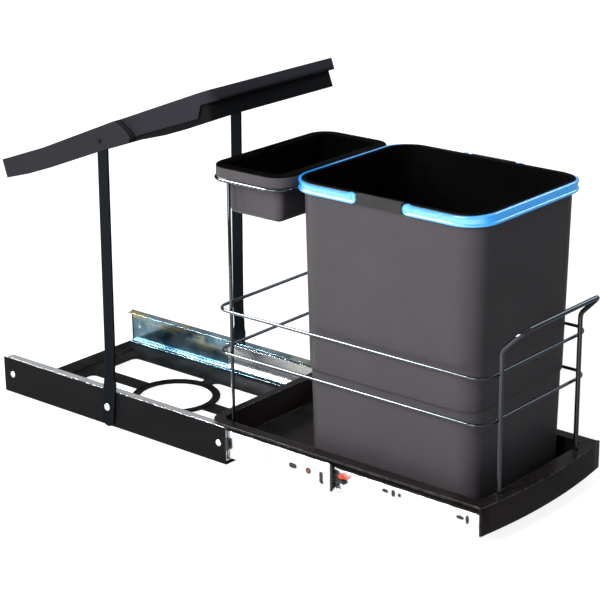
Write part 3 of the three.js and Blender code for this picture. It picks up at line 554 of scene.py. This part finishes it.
def platedSteel(name, look):
    # bright zinc: metal with roll lines, cloudy spangle, fine scuffs and painted shade along its
    # edges
    finish = finishLook["zinc"]
    material, nodes, links, shader, at = startMaterial(name, Metallic=1.0)
    roll = placeGroup(nodes, links, at, "roll")
    scuffs = placeGroup(nodes, links, at, "scuffs", Amount=look["scuffs"])
    edges = placeGroup(nodes, links, at, "edges", Amount=look["edges"])
    tone = mixColour(nodes, links, roll["Cloud"], look["dark"], look["light"])
    tone = mixColour(nodes, links, roll["Patch"], tone, look["patch"])
    tone = mixColour(nodes, links, edges["Mask"], tone, look["edgeColour"])
    tone = mixColour(nodes, links, scuffs["Mask"], tone, look["scuffColour"])
    links.new(tone, shader.inputs["Base Color"])
    roughen(nodes, links, shader, look, finish, roll["Streak"], scuffs["Mask"])
    bump(nodes, links, shader, roll["Height"], look["lineDepth"], finish["depth"])
    return material


plasticLooks = {
    "bin": dict(
        dark=(0.048, 0.0425, 0.048), light=(0.059, 0.0525, 0.059), scuffColour=(0.1, 0.095, 0.1),
        roughness=0.4, specular=0.2, grainScale=1100.0, grainDepth=0.16, scuffs=0.22, dust=0.05,
    ),
    # a darker copy of the bin's plastic for the rim's top and the inside: painted shade
    "binInnerPaintedShade": dict(
        dark=(0.0009, 0.0008, 0.0009), light=(0.0018, 0.0016, 0.0018),
        scuffColour=(0.012, 0.012, 0.012), roughness=0.55, specular=0.008, grainScale=1100.0,
        grainDepth=0.12, scuffs=0.25, dust=0.01,
    ),
    # a darker copy of the bin's plastic for the lugs between the bails: painted shade
    "binLugPaintedShade": dict(
        dark=(0.012, 0.0105, 0.012), light=(0.018, 0.016, 0.018), scuffColour=(0.05, 0.05, 0.05),
        roughness=0.35, specular=0.2, grainScale=1100.0, grainDepth=0.12, scuffs=0.25, dust=0.05,
    ),
    "bail": dict(
        dark=(0.001, 0.25, 0.88), light=(0.003, 0.32, 0.98), scuffColour=(0.2, 0.6, 0.98),
        roughness=0.24, specular=0.9, grainScale=1400.0, grainDepth=0.06, scuffs=0.2, dust=0.02,
        # painted light: a faint glow keeps the azure bright where little light falls
        coat=0.8, glow=0.42, glowColour=(0.0, 0.42, 1.0),
    ),
    "lid": dict(
        dark=(0.0135, 0.0128, 0.0172), light=(0.0172, 0.0164, 0.0216),
        scuffColour=(0.05, 0.05, 0.06), roughness=0.55, specular=0.06, grainScale=760.0,
        grainDepth=0.3, scuffs=0.3, dust=0.025,
    ),
    "liner": dict(
        dark=(0.003, 0.003, 0.003), light=(0.006, 0.006, 0.006), scuffColour=(0.04, 0.04, 0.04),
        roughness=0.5, specular=0.03, grainScale=900.0, grainDepth=0.2, scuffs=0.2, dust=0.08,
    ),
    # the tray's edges are lightened all round: a painted highlight along its rims
    "tray": dict(
        dark=(0.0075, 0.0053, 0.0046), light=(0.0125, 0.0092, 0.0082),
        scuffColour=(0.05, 0.045, 0.042), roughness=0.24, specular=0.07, grainScale=800.0,
        grainDepth=0.07, scuffs=0.3, dust=0.02, edges=1.0, edgeColour=(0.42, 0.4, 0.39),
    ),
    "lever": dict(
        dark=(0.5, 0.03, 0.006), light=(0.62, 0.05, 0.01), scuffColour=(0.8, 0.3, 0.2),
        roughness=0.38, specular=0.5, grainScale=1500.0, grainDepth=0.08, scuffs=0.3, dust=0.04,
    ),
    "rubber": dict(
        dark=(0.008, 0.008, 0.009), light=(0.014, 0.014, 0.015), scuffColour=(0.06, 0.06, 0.06),
        roughness=0.62, specular=0.35, grainScale=1200.0, grainDepth=0.3, scuffs=0.3, dust=0.15,
    ),
}
steelLooks = {
    "plate": dict(
        dark=(0.003, 0.0025, 0.0026), light=(0.0062, 0.005, 0.0052), edgeColour=(0.1, 0.1, 0.1),
        roughness=0.5, specular=0.02, coat=0.0, coatRoughness=0.2, grainScale=520.0,
        grainDepth=0.28, edges=0.45, dust=0.04, tint=(1, 1, 1, 1),
    ),
    "rail": dict(
        dark=(0.0046, 0.0046, 0.0052), light=(0.008, 0.008, 0.009), edgeColour=(0.13, 0.13, 0.14),
        roughness=0.46, specular=0.04, coat=0.0, coatRoughness=0.2, grainScale=520.0,
        grainDepth=0.28, edges=0.55, dust=0.08, tint=(1, 1, 1, 1),
    ),
    "post": dict(
        dark=(0.002, 0.0032, 0.0042), light=(0.004, 0.0065, 0.0085), edgeColour=(0.12, 0.12, 0.13),
        roughness=0.3, specular=0.04, coat=0.0, coatRoughness=0.15, grainScale=620.0,
        grainDepth=0.2, edges=0.35, dust=0.04, tint=(0.5, 0.85, 1, 1),
    ),
    "wire": dict(
        dark=(0.0025, 0.003, 0.004), light=(0.005, 0.006, 0.008), edgeColour=(0.1, 0.1, 0.1),
        roughness=0.12, specular=0.4, coat=0.4, coatRoughness=0.05, grainScale=700.0,
        grainDepth=0.1, edges=0.0, dust=0.02, tint=(0.78, 0.9, 1, 1),
    ),
}
zincLooks = {
    # its darkened edges are painted shade along every edge
    "zinc": dict(
        dark=(0.68, 0.71, 0.74), light=(0.83, 0.84, 0.85), scuffColour=(0.46, 0.46, 0.48),
        patch=(0.8, 0.79, 0.74), roughness=0.22, lineDepth=0.06, scuffs=0.3, edges=0.95,
        edgeColour=(0.12, 0.12, 0.13),
    ),
    # the far outer slide's copy of the zinc, darker and bluish with tan patches: painted
    # reflection of the dark inside of the unit, with painted shade along its edges
    "zincPaintedReflection": dict(
        dark=(0.03, 0.1, 0.15), light=(0.36, 0.55, 0.66), scuffColour=(0.3, 0.36, 0.4),
        patch=(0.7, 0.6, 0.28), roughness=0.15, lineDepth=0.05, scuffs=0.3, edges=0.5,
        edgeColour=(0.08, 0.1, 0.12),
    ),
}

materials = {name: mouldedPlastic(name, look) for name, look in plasticLooks.items()}
materials.update({name: coatedSteel(name, look) for name, look in steelLooks.items()})
materials.update({name: platedSteel(name, look) for name, look in zincLooks.items()})
print("materials made:", len(materials))


bigBin = dict(
    foot=12.9 * mm, footRadius=8 * mm, skirt=12.5 * mm, topInset=3.5 * mm, wall=2.2 * mm,
    stepHeight=150 * mm, stepDepth=2 * mm, rimRound=1.4 * mm, corner=35 * mm,
    halfX=110 * mm, crown=0.9 * mm,
)
smallBin = dict(
    foot=17 * mm, footRadius=7 * mm, skirt=14 * mm, topInset=14 * mm, wall=2.2 * mm,
    stepHeight=0.0, stepDepth=0.0, rimRound=1.4 * mm, corner=27 * mm,
    halfX=110 * mm, crown=0.4 * mm,
)
binMoulding = dict(
    # the hollow of the skirt ends this far under the rim, with a rounding at the wall and one at
    # the skirt; stepBlend is the height over which the moulded step runs out
    underRim=4.5 * mm, wallRound=1 * mm, skirtRound=0.8 * mm, stepBlend=5 * mm,
)


def binProfile(size, floor, rimTop):
    # outer wall from the foot's arc up to the rim, over the rounded rim and down the inside
    under = rimTop - binMoulding["underRim"]
    slope = (size["foot"] - size["topInset"] - size["stepDepth"]) / (under - floor)

    def wallAt(z):
        return -size["topInset"] - slope * (under - z)

    foot, footRadius, wall = size["foot"], size["footRadius"], size["wall"]
    rimRound, lip = size["rimRound"], rimTop - size["skirt"]
    wallRound, skirtRound = binMoulding["wallRound"], binMoulding["skirtRound"]
    outer = [arc((-foot - footRadius, floor + footRadius), footRadius, -90, 0, 10)]
    inner = []
    if size["stepDepth"] > 0:
        share = np.linspace(0, 1, 9)
        blendUp = share * share * (3 - 2 * share)
        rise = size["stepHeight"] + (share - 0.5) * binMoulding["stepBlend"]
        out = wallAt(rise) - size["stepDepth"] * (1 - blendUp)
        outer.append(np.stack([out, rise], axis=1))
        inner.append(np.stack([out - wall, rise], axis=1)[::-1])
    outer += [
        arc((-size["topInset"] + wallRound, under - wallRound), wallRound, 180, 90, 4),
        arc((-wall - skirtRound, under - skirtRound), skirtRound, 90, 0, 4),
        arc((-wall / 2, lip + wall / 2), wall / 2, 180, 360, 8),
        arc((-rimRound, rimTop - rimRound), rimRound, 0, 90, 6),
        arc((-size["topInset"] - wall + rimRound, rimTop - rimRound), rimRound, 90, 180, 6),
    ]
    reach = footRadius - wall * 0.5
    bottom = arc((-foot - wall - reach, floor + wall + reach), reach, 0, -90, 8)
    return np.concatenate(outer + inner + [bottom])


def makeBin(node, size):
    # the profile carried round the rim's rounded rectangle, which is also given back
    low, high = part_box(node)
    loop = dict(halfX=size["halfX"], halfY=(high.y - low.y) / 2, corner=size["corner"],
                y=(low.y + high.y) / 2, sideSteps=12)
    profile = binProfile(size, low.z, high.z)

    def swell(z):
        # sides bow out slightly between the foot and the rim
        share = np.clip((z - low.z) / (high.z - size["skirt"] - low.z), 0, 1)
        return size["crown"] * np.sin(share * math.pi)

    vertices, faces = loopSurface(loop, profile, steps=20, swell=swell)
    piece = meshPiece(node + "_shell", vertices, faces, materials["bin"], node, "bin", [node],
                      sharpAngle=40)
    # the rim's top and the inside take a darker copy of the bin's plastic, painted shade, from
    # five rows before the rim's highest row
    piece.data.materials.append(materials["binInnerPaintedShade"])
    columns = len(vertices) // len(profile)
    rowOfFace = np.append(np.arange(len(faces) - 2) // columns, [0, len(profile)])
    shade = (rowOfFace >= int(np.argmax(profile[:, 1])) - 5).astype(np.int32)
    piece.data.polygons.foreach_set("material_index", shade)
    return loop


bigLoop = makeBin("big_bin", bigBin)
makeBin("small_bin", smallBin)


def pillOutline(halfLength, radius, steps=10):
    # half circles at both ends of a straight middle, in (along, up)
    right = arc((halfLength - radius, 0), radius, -90, 90, steps)
    left = arc((radius - halfLength, 0), radius, 90, 270, steps)
    return np.concatenate([right, left])


def sidePlate(outline, centreY, centreZ, inside, outside, edge, sign):
    # an outline in Y and Z pushed out along X; over the last share `edge` of its depth it is
    # drawn in by 2% along Y and 6% along Z, which rounds its outer edge off in three steps
    drawnIn = np.array([0.02, 0.06])
    rings = []
    for depth, shrink in ((0.0, 0.0), (1.0 - edge, 0.0), (1.0 - edge * 0.3, 0.35), (1.0, 1.0)):
        x = np.full(len(outline), sign * (inside + (outside - inside) * depth))
        ring = np.column_stack([x, outline * (1 - shrink * drawnIn) + (centreY, centreZ)])
        rings.append(ring if sign > 0 else ring[::-1])
    return np.concatenate(rings), cappedFaces(len(rings), len(outline))


bailLook = dict(
    # thick, gap and groove are mm across the band; its legs stand legDrop lower than the rim,
    # from legDropFrom behind their tips on, and run into that over legDropOver
    thick=3.4, gap=0.3, groove=1.1, pivotGap=84 * mm, tip=9 * mm, tipHeight=0.3 * mm,
    legDrop=1.7 * mm, legDropFrom=9 * mm, legDropOver=5 * mm,
)
lugLook = dict(
    # how far lugs and stubs reach into the bin's side and out of it, their roundings, and the
    # share of their depth over which the outer edge rounds off
    into=1 * mm, lugOut=3.7 * mm, stubOut=3.3 * mm, lugRound=1.6 * mm, stubRadius=2.5 * mm,
    endGap=0.6 * mm, pivotDrop=0.3 * mm, lugEdge=0.3, stubEdge=0.4,
)
bigCentre = bigLoop["y"]
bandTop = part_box("big_bin")[1].z
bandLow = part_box("bail_front")[0].z
bandHalf = (bandTop - bandLow) / 2
bandMiddle = (bandTop + bandLow) / 2


def makeRimFittings(side, sign):
    # the lug between the bails' tips, and the stubs that the bails turn on
    inside = bigBin["halfX"] - lugLook["into"]
    middle = bandTop - bigBin["skirt"] / 2
    lugHalf = bailLook["pivotGap"] / 2 - bailLook["tip"] - lugLook["endGap"]
    outline = pillOutline(lugHalf, lugLook["lugRound"])
    outline[:, 1] += np.sign(outline[:, 1]) * (bigBin["skirt"] / 2 - lugLook["lugRound"])
    vertices, faces = sidePlate(
        outline, bigCentre, middle, inside, bigBin["halfX"] + lugLook["lugOut"],
        lugLook["lugEdge"], sign,
    )
    # the lug takes the darker copy of the bin's plastic: painted shade
    meshPiece("rim_lug_" + side, vertices, faces, materials["binLugPaintedShade"], "big_bin", "bin")
    disc = arc((0, 0), lugLook["stubRadius"], 0, 360, 24)[:-1]
    for end, pivot in (("front", -1), ("rear", 1)):
        vertices, faces = sidePlate(
            disc, bigCentre + pivot * bailLook["pivotGap"] / 2, middle - lugLook["pivotDrop"],
            inside, bigBin["halfX"] + lugLook["stubOut"], lugLook["stubEdge"], sign,
        )
        name = "bail_stub_%s_%s" % (end, side)
        meshPiece(name, vertices, faces, materials["bail"], "big_bin", "bin")


for side, sign in (("left", -1), ("right", 1)):
    makeRimFittings(side, sign)
print("bins made")


def makeBail(node, direction):
    # a ribbed section carried round one end of the rim, point + out * outward normal; its height
    # runs out in a half circle at each tip
    half, corner, radius = bigLoop["halfX"], bigLoop["corner"], bandHalf
    endY = bigCentre + direction * (bailLook["pivotGap"] / 2 - bailLook["tip"])
    farY = bigCentre + direction * bigLoop["halfY"]
    cornerY = farY - direction * corner
    ease = radius * (1 - np.cos(np.linspace(0, math.pi / 2, 12)))
    along = np.concatenate([ease, np.linspace(radius, abs(cornerY - endY), 10)[1:]])
    across = np.linspace(-half + corner, half - corner, 12)[1:]
    turn = np.linspace(0, math.pi / 2, 25)[1:]
    bend = np.stack([-np.cos(turn), direction * np.sin(turn)], axis=1)
    mirrored = bend[::-1][1:] * np.array([-1, 1])
    points = np.concatenate([
        np.stack([np.full(len(along), -half), endY + direction * along], axis=1),
        np.array([-half + corner, cornerY]) + corner * bend,
        np.stack([across, np.full(len(across), farY)], axis=1),
        np.array([half - corner, cornerY]) + corner * mirrored,
        np.stack([np.full(len(along), half), endY + direction * along[::-1]], axis=1),
    ])
    normals = np.concatenate([
        np.repeat([[-1.0, 0.0]], len(along), axis=0), bend,
        np.repeat([[0.0, float(direction)]], len(across), axis=0), mirrored,
        np.repeat([[1.0, 0.0]], len(along), axis=0),
    ])
    fromEnd = np.abs(points[:, 1] - endY)
    tall = np.sqrt(radius ** 2 - (radius - np.minimum(fromEnd, radius)) ** 2)
    tall = np.maximum(tall, bailLook["tipHeight"])
    inner = bailLook["gap"]
    outer = inner + bailLook["thick"]
    groove = outer - bailLook["groove"]
    section = np.array([
        (inner, -1.0), (outer - 0.9, -1.0), (outer - 0.25, -0.93), (outer, -0.82),
        (outer, -0.62), (outer - 0.3, -0.54), (groove, -0.46), (groove, 0.46),
        (outer - 0.3, 0.54), (outer, 0.62), (outer, 0.82), (outer - 0.25, 0.93),
        (outer - 0.9, 1.0), (inner, 1.0),
    ])
    out, height = section[:, 0] * mm, section[:, 1][None]
    flat = points[:, None] + normals[:, None] * out[None, :, None]
    lowered = np.clip((fromEnd - bailLook["legDropFrom"]) / bailLook["legDropOver"], 0, 1)
    legDrop = bailLook["legDrop"] * normals[:, 0] ** 2 * lowered
    z = bandMiddle + height * tall[:, None] - np.maximum(height, 0) * legDrop[:, None]
    vertices = np.concatenate([flat, z[..., None]], axis=2)
    faces = cappedFaces(len(points), len(section))
    if direction > 0:
        faces = [face[::-1] for face in faces]
    meshPiece(node + "_band", vertices.reshape(-1, 3), faces, materials["bail"], node, "bail",
              [node], sharpAngle=30)


makeBail("bail_front", -1)
makeBail("bail_rear", 1)
print("bails made")


def wirePiece(name, surface, node):
    # a wire of the bins' cage, which rides on the tray; its surface is (vertices, faces)
    meshPiece(name, *surface, materials["wire"], "tray", "wire", [node], sharpAngle=60)


ringCorners = dict(ring_lower=20 * mm, ring_upper=20 * mm, ring_small_bin=27 * mm)


def closedWire(node, corner, steps=14, sides=16):
    # a round wire bent into a rounded rectangle, through the middle of the frame node's box
    low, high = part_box(node)
    radius = (high.z - low.z) / 2
    loop = dict(halfX=(high.x - low.x) / 2 - radius, halfY=(high.y - low.y) / 2 - radius,
                corner=corner, y=(low.y + high.y) / 2, sideSteps=4)
    angles = np.linspace(0, 2 * math.pi, sides, endpoint=False)
    profile = np.stack([
        radius * np.cos(angles), (low.z + high.z) / 2 + radius * np.sin(angles),
    ], axis=1)
    wirePiece(node + "_wire", loopSurface(loop, profile, steps, closed=True), node)


for node, corner in ringCorners.items():
    closedWire(node, corner)

handleLook = dict(
    # slim: the round wire's radius as a share of the faceted wire's
    spread=162 * mm, bendHeight=228 * mm, topHeight=256 * mm, reach=27 * mm, radius=3 * mm,
    bend=14 * mm, slim=0.985,
)


def makeHandle():
    low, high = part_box("handle")
    half = handleLook["spread"] / 2
    gripY = low.y + handleLook["radius"]
    legY = gripY + handleLook["reach"]
    path = filletPath([
        (-half, legY, low.z), (-half, legY, handleLook["bendHeight"]),
        (-half, gripY, handleLook["topHeight"]), (half, gripY, handleLook["topHeight"]),
        (half, legY, handleLook["bendHeight"]), (half, legY, low.z),
    ], handleLook["bend"])
    radius = handleLook["radius"] * handleLook["slim"]
    wirePiece("handle_wire", tubeSurface(path, radius), "handle")


uprightLook = dict(
    # the foot stands higher than the frame node's by this share of the radius
    footLift=0.3, chamfer=0.7 * mm,
)


def makeUpright(side):
    low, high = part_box("upright_" + side)
    radius, chamfer = (high.y - low.y) / 2, uprightLook["chamfer"]
    x, y = (low.x + high.x) / 2, (low.y + high.y) / 2
    path = [(x, y, low.z + radius * uprightLook["footLift"]), (x, y, (low.z + high.z) / 2),
            (x, y, high.z - chamfer)]
    wirePiece("upright_wire_" + side, tubeSurface(path, radius, chamfer=chamfer),
              "upright_" + side)


makeHandle()
for side in ("left", "right"):
    makeUpright(side)
print("wires made")


softenedParts = [
    # nodes, material, body, bevel width, bevel segments
    (("base_plate",), "plate", "frame", 0.35 * mm, 2),
    (("rail_left", "rail_right"), "rail", "frame", 0.35 * mm, 2),
    (("post_left", "post_right"), "post", "frame", 0.4 * mm, 2),
    (("tray",), "tray", "tray", 1.0 * mm, 1),
    (("lid_rear_cover", "lid_front_cover"), "lid", "lid", 0.9 * mm, 3),
    (("lid_liner",), "liner", "lid", 0.35 * mm, 2),
    (("slide_outer_left",), "zinc", "frame", 0.18 * mm, 2),
    (("slide_outer_right",), "zincPaintedReflection", "frame", 0.18 * mm, 2),
    (("slide_inner_left", "slide_inner_right"), "zinc", "tray", 0.18 * mm, 2),
    (("slide_middle_left",), "zinc", "middle_left", 0.18 * mm, 2),
    (("slide_middle_right",), "zinc", "middle_right", 0.18 * mm, 2),
    (("middle_stop_left",), "rubber", "middle_left", 0.3 * mm, 2),
    (("middle_stop_right",), "rubber", "middle_right", 0.3 * mm, 2),
    (("rail_clip_left", "rail_clip_right"), "rubber", "frame", 0.3 * mm, 2),
]
for nodesOfPart, finish, body, width, segments in softenedParts:
    for node in nodesOfPart:
        softened(node, materials[finish], body, width, segments)
print("sheet metal, tray and lid made")


leverLook = dict(
    # distances in mm behind the pivot and above it
    arm=((5.0, 2.0), (5.6, 4.0), (4.8, 6.0), (-0.3, 6.4), (-2.2, 5.2), (-8.2, 4.4),
         (-9.0, 3.8), (-9.0, 3.2), (-8.2, 2.7), (-2.4, 2.2), (-0.3, 1.2), (4.2, 1.0)),
    foot=((8.6, 4.4), (6.9, 4.4), (6.1, 1.0), (4.9, -0.8), (-0.5, -0.4), (-2.2, -1.6),
          (-2.6, -5.9), (5.4, -3.9), (8.2, -1.2)),
    pivotPlace=14.0, footInset=0.4 * mm, chamfer=0.4 * mm,
)
holeShadeLook = dict(
    # dark discs in the slides' holes, painted shade where the holes look through to the member
    # behind;
    # each: mm behind the member's front end and above its centre, half length, half height and
    # finish;
    # one with the lever's finish is a red mark on the one before it
    slide_middle=((58, 0, 6.0, 3.3, "rubber"), (33.5, 0, 3.9, 3.9, "rubber"),
                  (33.5, 0, 1.7, 1.7, "lever"), (13.6, -3.6, 2.7, 7.6, "rubber"),
                  (350, 0, 3.4, 3.4, "rubber")),
    slide_inner=((142, 2.5, 4.4, 1.9, "rubber"), (130, 2.5, 2.6, 4.2, "rubber"),
                 (121, 2.5, 2.3, 2.3, "rubber"), (34, 0, 5.2, 1.9, "rubber"),
                 (24, 0, 2.0, 5.2, "rubber")),
    proud=0.25 * mm, markProud=0.15 * mm, thick=0.6 * mm, sheet=1.3 * mm, chamfer=0.08 * mm,
)


def pushedAlongX(outline, near, far, edge):
    # an outline in Y and Z between two X faces, with both edges chamfered by `edge`
    outline = np.asarray(outline, float)
    centre = outline.mean(axis=0)
    toCentre = centre - outline
    drawnIn = outline + edge * toCentre / np.linalg.norm(toCentre, axis=1)[:, None]
    sign = 1 if far > near else -1
    rows = [(near, drawnIn), (near + sign * edge, outline), (far - sign * edge, outline),
            (far, drawnIn)]
    vertices = np.concatenate([
        np.column_stack([np.full(len(ring), x), ring]) for x, ring in rows
    ])
    return vertices, cappedFaces(len(rows), len(outline))


def makeLever(side):
    node, body = "release_lever_" + side, "lever_" + side
    low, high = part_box(node)
    pivotY = low.y + leverLook["pivotPlace"] * mm
    for part, finish, replaced in (("arm", "lever", [node]), ("foot", "rubber", [])):
        outline = np.array(leverLook[part]) * mm + (pivotY, slideCentre)
        inset = 0.0 if part == "arm" else leverLook["footInset"]
        vertices, faces = pushedAlongX(outline, low.x + inset, high.x - inset,
                                       leverLook["chamfer"])
        meshPiece("lever_%s_%s" % (part, side), vertices, faces, materials[finish], body,
                  "lever", replaced, sharpAngle=30)


def holeShadeOutline(halfLength, halfHeight):
    # a circle of the smaller half size, drawn out along the longer way; the shift off zero
    # gives every point a side
    radius = min(halfLength, halfHeight)
    circle = arc((0, 0), radius, 0, 360, 24)[:-1] + 1e-9
    return circle + np.sign(circle) * (halfLength - radius, halfHeight - radius)


def makeHoleShades(member, body, side, sign):
    # dark discs standing in the members' holes: painted shade
    low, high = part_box(member + "_" + side)
    # the middle member's web faces outwards, the inner member's stands at the tray
    outermost = high.x if sign > 0 else low.x
    innermost = low.x if sign > 0 else high.x
    web = outermost if member == "slide_middle" else innermost + sign * holeShadeLook["sheet"]
    for number, (along, up, halfLength, halfHeight, finish) in enumerate(holeShadeLook[member]):
        place = (low.y + along * mm, slideCentre + up * mm)
        proud = holeShadeLook["proud"] + (holeShadeLook["markProud"] if finish == "lever" else 0)
        near = web + sign * proud
        vertices, faces = pushedAlongX(
            holeShadeOutline(halfLength, halfHeight) * mm + place, near,
            near - sign * holeShadeLook["thick"], holeShadeLook["chamfer"],
        )
        meshPiece("%s_plug_%s_%d" % (member, side, number + 1), vertices, faces,
                  materials[finish], body, finish)


slideLow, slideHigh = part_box("slide_middle_left")
slideCentre = (slideLow.z + slideHigh.z) / 2
for side, sign in (("left", -1), ("right", 1)):
    makeLever(side)
    makeHoleShades("slide_middle", "middle_" + side, side, sign)
    makeHoleShades("slide_inner", "tray", side, sign)
print("levers and hole_shades made")


pinLook = dict(
    # radius and height of a rivet's and a bolt's head, the share of it that is domed, the width
    # of its chamfer underneath, and the shank's radius
    rivet=(4.5 * mm, 1.2 * mm), bolt=(5 * mm, 1.2 * mm), dome=0.75, chamfer=0.2 * mm,
    shank=2.5 * mm,
)


def headedPin(name, node, sign, head):
    # a domed head on a shank along X: a profile of (radius, along) turned a full circle
    low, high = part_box(node)
    y, z = (low.y + high.y) / 2, (low.z + high.z) / 2
    tip, end = (high.x, low.x) if sign > 0 else (low.x, high.x)
    radius, height = pinLook[head]
    shank, chamfer, dome = pinLook["shank"], pinLook["chamfer"], height * pinLook["dome"]
    angles = np.linspace(0, math.pi / 2, 10)
    profile = np.concatenate([
        [(shank, -abs(tip - end)), (shank, -height), (radius - chamfer, -height),
         (radius, chamfer - height), (radius, -dome)],
        np.stack([radius * np.cos(angles), dome * (np.sin(angles) - 1)], axis=1)[1:-1],
    ])
    out, along = profile[:, 0][:, None], profile[:, 1][:, None]
    turn = np.linspace(0, 2 * math.pi, 32, endpoint=False)
    vertices = np.stack([
        np.broadcast_to(tip + sign * along, (len(profile), len(turn))),
        y + sign * out * np.cos(turn), z + out * np.sin(turn),
    ], axis=2)
    faces = cappedFaces(len(profile), len(turn))
    meshPiece(name, vertices.reshape(-1, 3), faces, materials["zinc"], "frame", "zinc", [node],
              sharpAngle=40)


def plainFinish(node, finish):
    # a frame node that keeps its own shape
    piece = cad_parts[node]
    piece.data.materials.clear()
    piece.data.materials.append(materials[finish])


for side, sign in (("left", -1), ("right", 1)):
    for end in ("front", "rear"):
        node = "rivet_%s_%s" % (end, side)
        headedPin(node + "_head", node, sign, "rivet")
    headedPin("post_bolt_head_" + side, "post_bolt_" + side, sign, "bolt")
    for node, finish in (("cage_outer_", "zinc"), ("cage_inner_", "zinc"), ("lid_pin_", "post")):
        plainFinish(node + side, finish)
print("fasteners made")


cameraLook = dict(
    place=(-1.78017, -1.522815, 0.99196), forward=(0.72204, 0.61042, -0.32564),
    roll=-0.62, lens=117.32, sensor=36, clip=(0.05, 40),
)


def makeCamera():
    data = bpy.data.cameras.new("camera")
    data.sensor_width = cameraLook["sensor"]
    data.sensor_fit = "HORIZONTAL"
    data.lens = cameraLook["lens"]
    data.clip_start, data.clip_end = cameraLook["clip"]
    camera = bpy.data.objects.new("camera", data)
    bpy.context.scene.collection.objects.link(camera)
    turn = Vector(cameraLook["forward"]).to_track_quat("-Z", "Y")
    camera.rotation_mode = "QUATERNION"
    tilt = math.radians(cameraLook["roll"])
    camera.rotation_quaternion = turn @ Quaternion((0, 0, 1), tilt)
    camera.location = cameraLook["place"]
    bpy.context.scene.camera = camera


stageLook = dict(
    # the paper glows for the camera from the first to the second strength between these distances
    # (metres), and for reflections between these places along X
    halfSize=6.0, drop=0.5 * mm, colour=(0.36, 0.36, 0.36), roughness=0.9,
    glowAt=(0.45, 1.3), glow=(0.88, 1.0), mirroredAt=(-0.8, 0.1), mirrored=(2.3, 0.08),
    worldMirrored=0.4, worldLight=0.12,
)


def seenRay(nodes, links):
    # 1 where the camera looks directly or through glass, and 1 where a surface mirrors
    ray = nodes.new("ShaderNodeLightPath")
    seen = mathNode(nodes, links, "MAXIMUM", ray.outputs["Is Camera Ray"],
                    ray.outputs["Is Transmission Ray"])
    return seen, ray.outputs["Is Glossy Ray"]


def paperMaterial():
    # pale paper: for the camera it glows a little less under the unit, and away from it so much
    # that it turns plain white
    material, nodes, links, shader, at = startMaterial(
        "floorPaper", Base_Color=(*stageLook["colour"], 1), Roughness=stageLook["roughness"],
        Emission_Color=(1, 1, 1, 1),
    )
    distance = nodes.new("ShaderNodeVectorMath")
    distance.operation = "LENGTH"
    links.new(at, distance.inputs[0])
    glow = rangeNode(nodes, links, distance.outputs["Value"], *stageLook["glowAt"],
                     *stageLook["glow"])
    split = nodes.new("ShaderNodeSeparateXYZ")
    links.new(at, split.inputs[0])
    # reflections see the lit side of the studio on the left and its dark side on the right
    mirrored = rangeNode(nodes, links, split.outputs["X"], *stageLook["mirroredAt"],
                         *stageLook["mirrored"])
    seen, glossy = seenRay(nodes, links)
    shown = mathNode(nodes, links, "MULTIPLY", seen, glow)
    shine = mathNode(nodes, links, "MULTIPLY", glossy, mirrored)
    links.new(mathNode(nodes, links, "MAXIMUM", shown, shine),
              shader.inputs["Emission Strength"])
    return material


def makeFloor():
    size, z = stageLook["halfSize"], -stageLook["drop"]
    mesh = bpy.data.meshes.new("floor")
    mesh.from_pydata([(-size, -size, z), (size, -size, z), (size, size, z), (-size, size, z)],
                     [], [(0, 1, 2, 3)])
    mesh.materials.append(paperMaterial())
    floor = bpy.data.objects.new("floor", mesh)
    bpy.context.scene.collection.objects.link(floor)


def makeWorld():
    # white to the camera, dimmer to reflections and dimmer still as light on the unit
    world = bpy.data.worlds.new("studio")
    bpy.context.scene.world = world
    world.use_nodes = True
    nodes, links = world.node_tree.nodes, world.node_tree.links
    background = nodes["Background"]
    background.inputs["Color"].default_value = (1, 1, 1, 1)
    seen, glossy = seenRay(nodes, links)
    gloss = mathNode(nodes, links, "MULTIPLY", glossy, stageLook["worldMirrored"])
    bright = mathNode(nodes, links, "MAXIMUM", seen, gloss)
    links.new(mathNode(nodes, links, "MAXIMUM", bright, stageLook["worldLight"]),
              background.inputs["Strength"])


lampLook = [
    # name, place, aimed at, size, power, colour, and whether it only makes highlights
    ("keySide", (-2.4, -0.2, 1.5), (0, -0.1, 0.2), (1.6, 1.2), 100, (1, 1, 1), False),
    ("frontFill", (0.6, -2.6, 1.1), (0, -0.2, 0.2), (1.4, 1.0), 3.6, (1, 1, 1), False),
    ("topSoft", (0.1, 0.1, 2.3), (0, 0, 0), (1.6, 1.6), 9, (1, 1, 1), False),
    ("shineBack", (-0.9, 1.46, 1.7), (0, -0.1, 0.2), (1.9, 0.8), 400, (0.92, 0.97, 1), True),
    ("shineRight", (1.75, -0.8, 1.5), (0, -0.2, 0.2), (0.7, 1.3), 18, (0.6, 0.8, 1), True),
]


def makeLamps():
    for name, place, aim, size, power, colour, shineOnly in lampLook:
        data = bpy.data.lights.new(name, "AREA")
        data.shape = "RECTANGLE"
        data.size, data.size_y = size
        data.energy = power
        data.color = colour
        lamp = bpy.data.objects.new(name, data)
        lamp.location = place
        lamp.rotation_mode = "QUATERNION"
        lamp.rotation_quaternion = (Vector(aim) - Vector(place)).to_track_quat("-Z", "Y")
        lamp.visible_diffuse = not shineOnly
        bpy.context.scene.collection.objects.link(lamp)


makeCamera()
makeFloor()
makeWorld()
makeLamps()
bpy.context.scene.view_settings.view_transform = "Standard"
print("camera, floor and lamps made")
